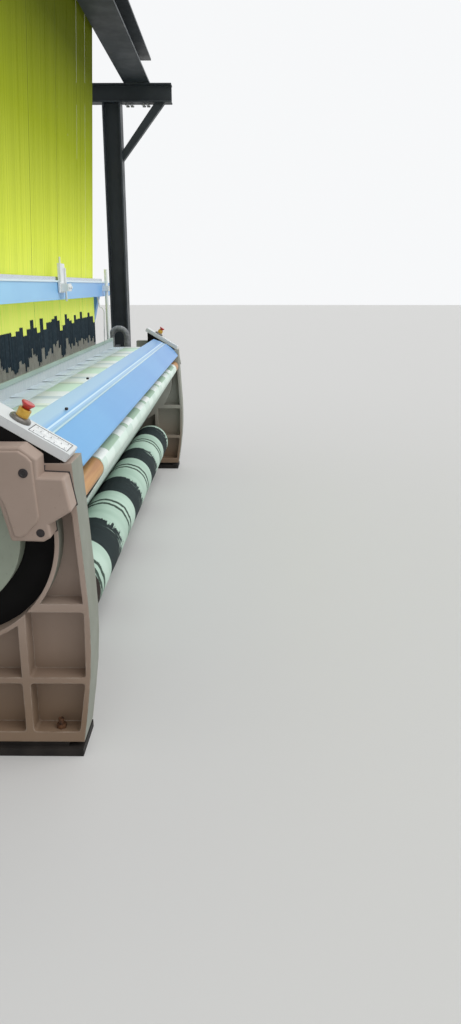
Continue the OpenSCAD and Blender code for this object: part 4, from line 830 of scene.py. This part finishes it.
# Beams across the harness: folded sheet in bright blue with a pale grey top strip, held by the end
# brackets; the white clamp with its rods, the guard tube and the bent guard edge hang on them.
def blue_with_painted_end_light(where, end, other_end, near, far, scale, dull):
    """A blue that changes from one end of the loom to the other, painted light of how the light
    falls along it, with slow dull patches.
    """
    tone = mixed(spread(axis(where, "X"), end, other_end), near, far)
    return mixed(cloud(where, scale, 5), tone, mixed(1.0, tone, dull, "MULTIPLY"))


arch_top = 1.520
arch_blue, shader, where = finish("arch_blue", 0.34, shine=0.3)
# Painted light: the beam is painted paler blue at the near end and deeper at the far end.
tone = blue_with_painted_end_light(where, -1.6, 1.7, "a9e3ff", "7db8f0", 2.2, (0.86, 0.9, 0.95, 1))
strip = spread(axis(where, "Z"), arch_top - 0.0004, arch_top + 0.0004)
feed(shader, Base_Color=mixed(strip, tone, "e2f4fb"), Normal=rounded(shader, 0.003))
dress(arch_blue, "arch_beam")
dress(enamel("white_paint", "eef2f3", 0.4, soil=0.1, edge=0.0015, edge_wear_and_highlight="8f9191"), "arch_fittings")


# Front cover: a folded sheet over the take-up rollers in bright blue enamel, with two long ridges
# and small black latches near its rear edge.
cover_blue, shader, where = finish("cover_blue", 0.32, shine=0.35)
# Painted light: the cover's blue shifts a little from the near end to the far end.
tone = blue_with_painted_end_light(where, -1.9, 1.9, "62a9de", "649fdc", 1.7, (0.84, 0.9, 0.96, 1))
depth = axis(where, "Y")
# Painted reflection: a pale band near the rear edge, strongest at the near end.
glare = times(spread(axis(where, "X"), 0.6, -1.7, 0.15, 0.55),
              spread(depth, 0.128 - mid_depth, 0.150 - mid_depth))
tone = mixed(glare, tone, "d6eef8")
# Painted highlights: pale lines along the ridges.
for ridge, half, bright in ((0.112, 0.013, 0.35), (0.104, 0.005, 0.8), (0.126, 0.0036, 0.8)):
    off = maths("ABSOLUTE", maths("SUBTRACT", depth, ridge - mid_depth))
    tone = mixed(spread(off, half, half * 0.6, 0.0, bright), tone, "d8f0fc")
feed(shader, Base_Color=tone, Normal=rounded(shader, 0.004))
dress(cover_blue, "front_cover")
knob = [[0, 0.0055], [0.002, 0.0065], [0.007, 0.0065], [0.009, 0.005], [0.0095, 0.002]]
latch_at = place([-1.605, -0.82], [0.136, 0.205], [1.0635, 1.0835])
latches = turned(knob, 16, latch_at, Z, X)
build("cover_latches", *latches, plug_black, "black_plastic", smooth=True)


# Control panels: pale grey housings on posts above the frames' front ends, with a keypad foil of
# plain generic keys in a recess.
tilt = np.radians(31)
rise, face = np.array([0, np.cos(tilt), np.sin(tilt)]), np.array([0, -np.sin(tilt), np.cos(tilt)])
dress(enamel("panel_paint", "dde2e4", 0.5, soil=0.1, edge_wear_and_highlight="9a9a98"), "control_panels")


def on_panel(side, across, up_slope, out):
    """Points on a panel: its tip plus steps across the loom, up its slope and off its face."""
    across, up_slope, out = np.broadcast_arrays(across, up_slope, out)
    tip = place(side * 2.115, 0.007, 1.0185)
    return tip + across[..., None] * X + up_slope[..., None] * rise + out[..., None] * face


key_v, key_u = np.meshgrid(0.0265 + 0.0172 * np.arange(7), [-0.028, 0.0, 0.028])
key = np.stack([key_u.ravel() - 0.0095, key_v.ravel() - 0.0058, np.full(21, -0.0011)], 1)
keys = boxes(key, key + [0.019, 0.0116, 0.0016])
sheet = boxes([-0.0458, 0.0122, -0.00098], [0.0458, 0.1438, -0.0007])
marks = boxes((key + [0.006, 0.0045, 0.0015])[::2], (key + [0.013, 0.0075, 0.0019])[::2])
left, low, right, high, line_w = -0.045, 0.0132, 0.045, 0.143, 0.0022
rule = boxes([[left, low, -0.0009], [left, high - line_w, -0.0009], [left, low, -0.0009],
              [right - line_w, low, -0.0009]],
             [[right, low + line_w, 0.0003], [right, high, 0.0003], [left + line_w, high, 0.0003],
              [right, high, 0.0003]])
foil = mottled("keypad_foil", 0.35, "eef1f2", "d9dddf", 40)
foil_line = mottled("keypad_lines", 0.4, "3c3f44", "54575c", 70)
for side, name in both_ends:
    for title, parts, made in (("keypad_", (keys, sheet), foil),
                               ("keypad_lines_", (rule, marks), foil_line)):
        points, faces = together(*parts)
        build(title + name, on_panel(side, *points.T), faces, made, "panel_grey")


# Emergency stops: a dark grey seat, a yellow body and a flared red mushroom cap that is pressed in
# along the panel's normal.
def moulded(name, code, deep):
    """Moulded plastic with a faint mottle and soft gloss."""
    return mottled(name, 0.32, code, deep, 80, Coat_Weight=0.3)


seat_grey = moulded("stop_seat_grey", "6d6963", "57534e")
stop_yellow = moulded("stop_yellow", "d9ae3c", "c4952b")
stop_red = moulded("stop_red", "c7322f", "ab2624")
seat_line = [[0.0002, 0.034], [0.006, 0.034], [0.009, 0.032], [0.012, 0.0285], [0.0135, 0.021]]
trunk_line = [[0.013, 0.0195], [0.015, 0.020], [0.037, 0.020], [0.0395, 0.0185],
              [0.040, 0.0165], [0.040, 0.0136], [0.030, 0.0134]]
cap_line = [[0.0405, 0.012], [0.044, 0.0125], [0.048, 0.015], [0.053, 0.0185],
            [0.056, 0.0207], [0.058, 0.021], [0.0596, 0.0206], [0.0602, 0.0196],
            [0.0602, 0.012], [0.0604, 0.0075], [0.0604, 0.0015]]
for side, name in both_ends:
    foot = on_panel(side, 0.0, 0.184, 0.0)
    build("stop_seat_" + name, *turned(seat_line, 40, foot, face, X), seat_grey, "panel_grey")
    trunk = build("stop_body_" + name, *turned(trunk_line, 40, foot, face, X), stop_yellow,
                  "stop_yellow")
    cap = build("stop_cap_" + name, *turned(cap_line, 40, foot, face, X), stop_red, "stop_red",
                name + "_stop", smooth=True)
    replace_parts(cap, "estop_" + name)
    if name == "left":
        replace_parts(trunk, "estop_collars")


# Suction hose: ribbed grey hose bent in an arch, with both ends standing on the right frame's rail.
# It is held taut in that shape.
hose_x, hose_mid, hose_bend, hose_low, hose_rise, hose_r = 2.060, 0.485, 0.062, 0.9935, 1.102, 0.024
turn = np.linspace(0, np.pi, 13)
leg = np.linspace(hose_low, hose_rise, 7)[:-1]
route = np.concatenate([place(hose_x, hose_mid - hose_bend, leg),
                        place(hose_x, hose_mid - hose_bend * np.cos(turn),
                              hose_rise + hose_bend * np.sin(turn)),
                        place(hose_x, hose_mid + hose_bend, leg[::-1])])
far = passed(route)
mark = np.linspace(0, far[-1], 241)
line = np.stack([np.interp(mark, far, route[:, i]) for i in range(3)], 1)
ribs = hose_r - 0.0024 * (0.5 + 0.5 * np.cos(2 * np.pi * mark / (far[-1] / 40))) ** 2
hose = build("suction_hose_ribbed", *bent_rod(line, ribs, 24),
             mottled("hose_grey", 0.5, "8d9092", "6c6f72", 40), "hose_grey", smooth=True)
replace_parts(hose, "suction_hose")


# Gantry: rolled steel posts, cross beams with braces and two long beams in dark slate paint, bolted
# together through their flanges.
dress(enamel("gantry_paint", "2f373c", 0.5, soil=0.25, edge=0.004, edge_wear_and_highlight="7b858a"), "gantry_posts",
      "gantry_beams")
bolt_x, bolt_d = (v.ravel()[:, None]
                  for v in np.meshgrid([-3.19, -3.11, 3.11, 3.19],
                                       [0.310, 0.350, 0.455, 0.495, 1.135, 1.175, 1.280, 1.320]))
heads = place(bolt_x, bolt_d, [3.2155, 3.2165, 3.2285])
nuts = place(bolt_x, bolt_d, [3.026, 3.029, 3.039])
bolts = together(rods(heads, X, Y, [0.0165, 0.0165, 0.015]),
                 rods(nuts, X, Y, [0.0145, 0.016, 0.016]))
build("gantry_bolts", *bolts, turned_steel, "gantry_grey")


# Jacquard head: a long grey housing on the long beams with doors, louvres and turn handles, and the
# gearbox that the upright shaft drives.
head_paint = enamel("head_paint", "74787b", 0.42, soil=0.15, edge_wear_and_highlight="a2a6a8")
dress(head_paint, "jacquard_head")


def blocks_on(front, way, inner, outer, left, right, low, high):
    """Blocks on a face, from inner to outer off it."""
    ends = np.sort([front + way * inner, front + way * outer])
    return boxes(place(left, ends[0], low), place(right, ends[1], high))


def louvres(front, way, lefts, wide, heights, deep=0.008, tall=0.016):
    """Pressed vent slats: blocks on a face, whose upper outer edge is drawn back to a fifth."""
    left, height = (v.ravel() for v in np.meshgrid(lefts, heights))
    points, faces = blocks_on(front, way, 0, deep, left, left + wide, height, height + tall)
    outer = front + way * deep - mid_depth
    upper = np.tile(np.arange(8) > 3, len(left)) & (np.abs(points[:, 1] - outer) < 1e-6)
    points[upper, 1] -= way * deep * 0.8
    return points, faces


door = -1.79 + 0.6 * np.arange(6)
pivot = np.array([[0.0, 0.016], [0.004, 0.016], [0.006, 0.011], [0.018, 0.011], [0.020, 0.009]])
vents, handles = [], []
for front, way in ((0.4738, -1), (1.1562, 1)):
    vents.append(louvres(front, way, door + 0.10, 0.38, 3.60 + 0.028 * np.arange(8)))
    spots = place(door[:, None] + 0.545, front + way * pivot[:, 0], 3.78)
    handles.append(rods(spots, *((Z, X) if way > 0 else (X, Z)), pivot[:, 1], 12))
    handles.append(blocks_on(front, way, 0.012, 0.019, door + 0.537, door + 0.553, 3.735, 3.800))
    for hinge in (3.56, 4.00):
        handles.append(blocks_on(front, way, -0.004, 0.007, door - 0.004, door + 0.010,
                                 hinge - 0.03, hinge + 0.03))
build("head_vents", *together(*vents), head_paint, "gantry_grey")
build("head_handles", *together(*handles), plug_black, "black_plastic")


# Weft feeder: a blue-black housing on a stand with the weft wound on its drum and a white disc that
# turns, and the electrical cabinet with its door, vents and handle.
dress(enamel("feeder_blue", "343f4c", 0.35, soil=0.12, edge_wear_and_highlight="7d8792"), "weft_feeder")
dress(moulded("disc_white", "dcdddb", "c9cbc9"), "feeder_disc")
cabinet_paint = enamel("cabinet_paint", "b6baba", 0.5, soil=0.12, edge_wear_and_highlight="8c9090")
dress(cabinet_paint, "control_cabinet")
drum_axis, turn_half = (0.850, 1.120), 0.0009
weft, shader, where = finish("weft_yarn", 0.8, Sheen_Weight=0.1)
turns = maths("PINGPONG", axis(where, "X"), turn_half)
feed(shader, Base_Color=mixed(spread(turns, 0.0, turn_half), "26302f", "4d5a59"),
     Normal=relief(turns, 0.6, 0.001))
coil_x = np.linspace(-2.606, -2.512, 95)
coil = wound(drum_axis, 0.0592 + 0.0004 * np.cos(coil_x * 3500), coil_x, 0.0578, 40)
build("feeder_yarn", *coil[:2], weft, "cloth_dark", smooth=True)
ring = rods(place([-2.6095, -2.6095], *drum_axis), Y, Z, 0.0605, 32)
build("feeder_ring", *ring, plug_black, "black_plastic")
cabinet_back = 1.156
slats = louvres(cabinet_back, -1, 2.36, 0.18,
                np.add.outer([0.20, 1.22], 0.026 * np.arange(7)).ravel(), 0.006)
build("cabinet_vents", *slats, cabinet_paint, "panel_grey")
grip = boxes(place([2.336, 2.338], [1.134, 1.128], [0.73, 0.77]),
             place([2.344, 2.342], [cabinet_back, 1.136], [0.91, 0.87]))
build("cabinet_handle", *grip, plug_black, "black_plastic")
dial_line = [[0.0, 0.030], [0.004, 0.030], [0.005, 0.022], [0.020, 0.020], [0.022, 0.017]]
dial = turned(dial_line, 32, place(2.64, cabinet_back, 1.30), -Y, X)
build("cabinet_switch", *dial, stop_red, "stop_red")
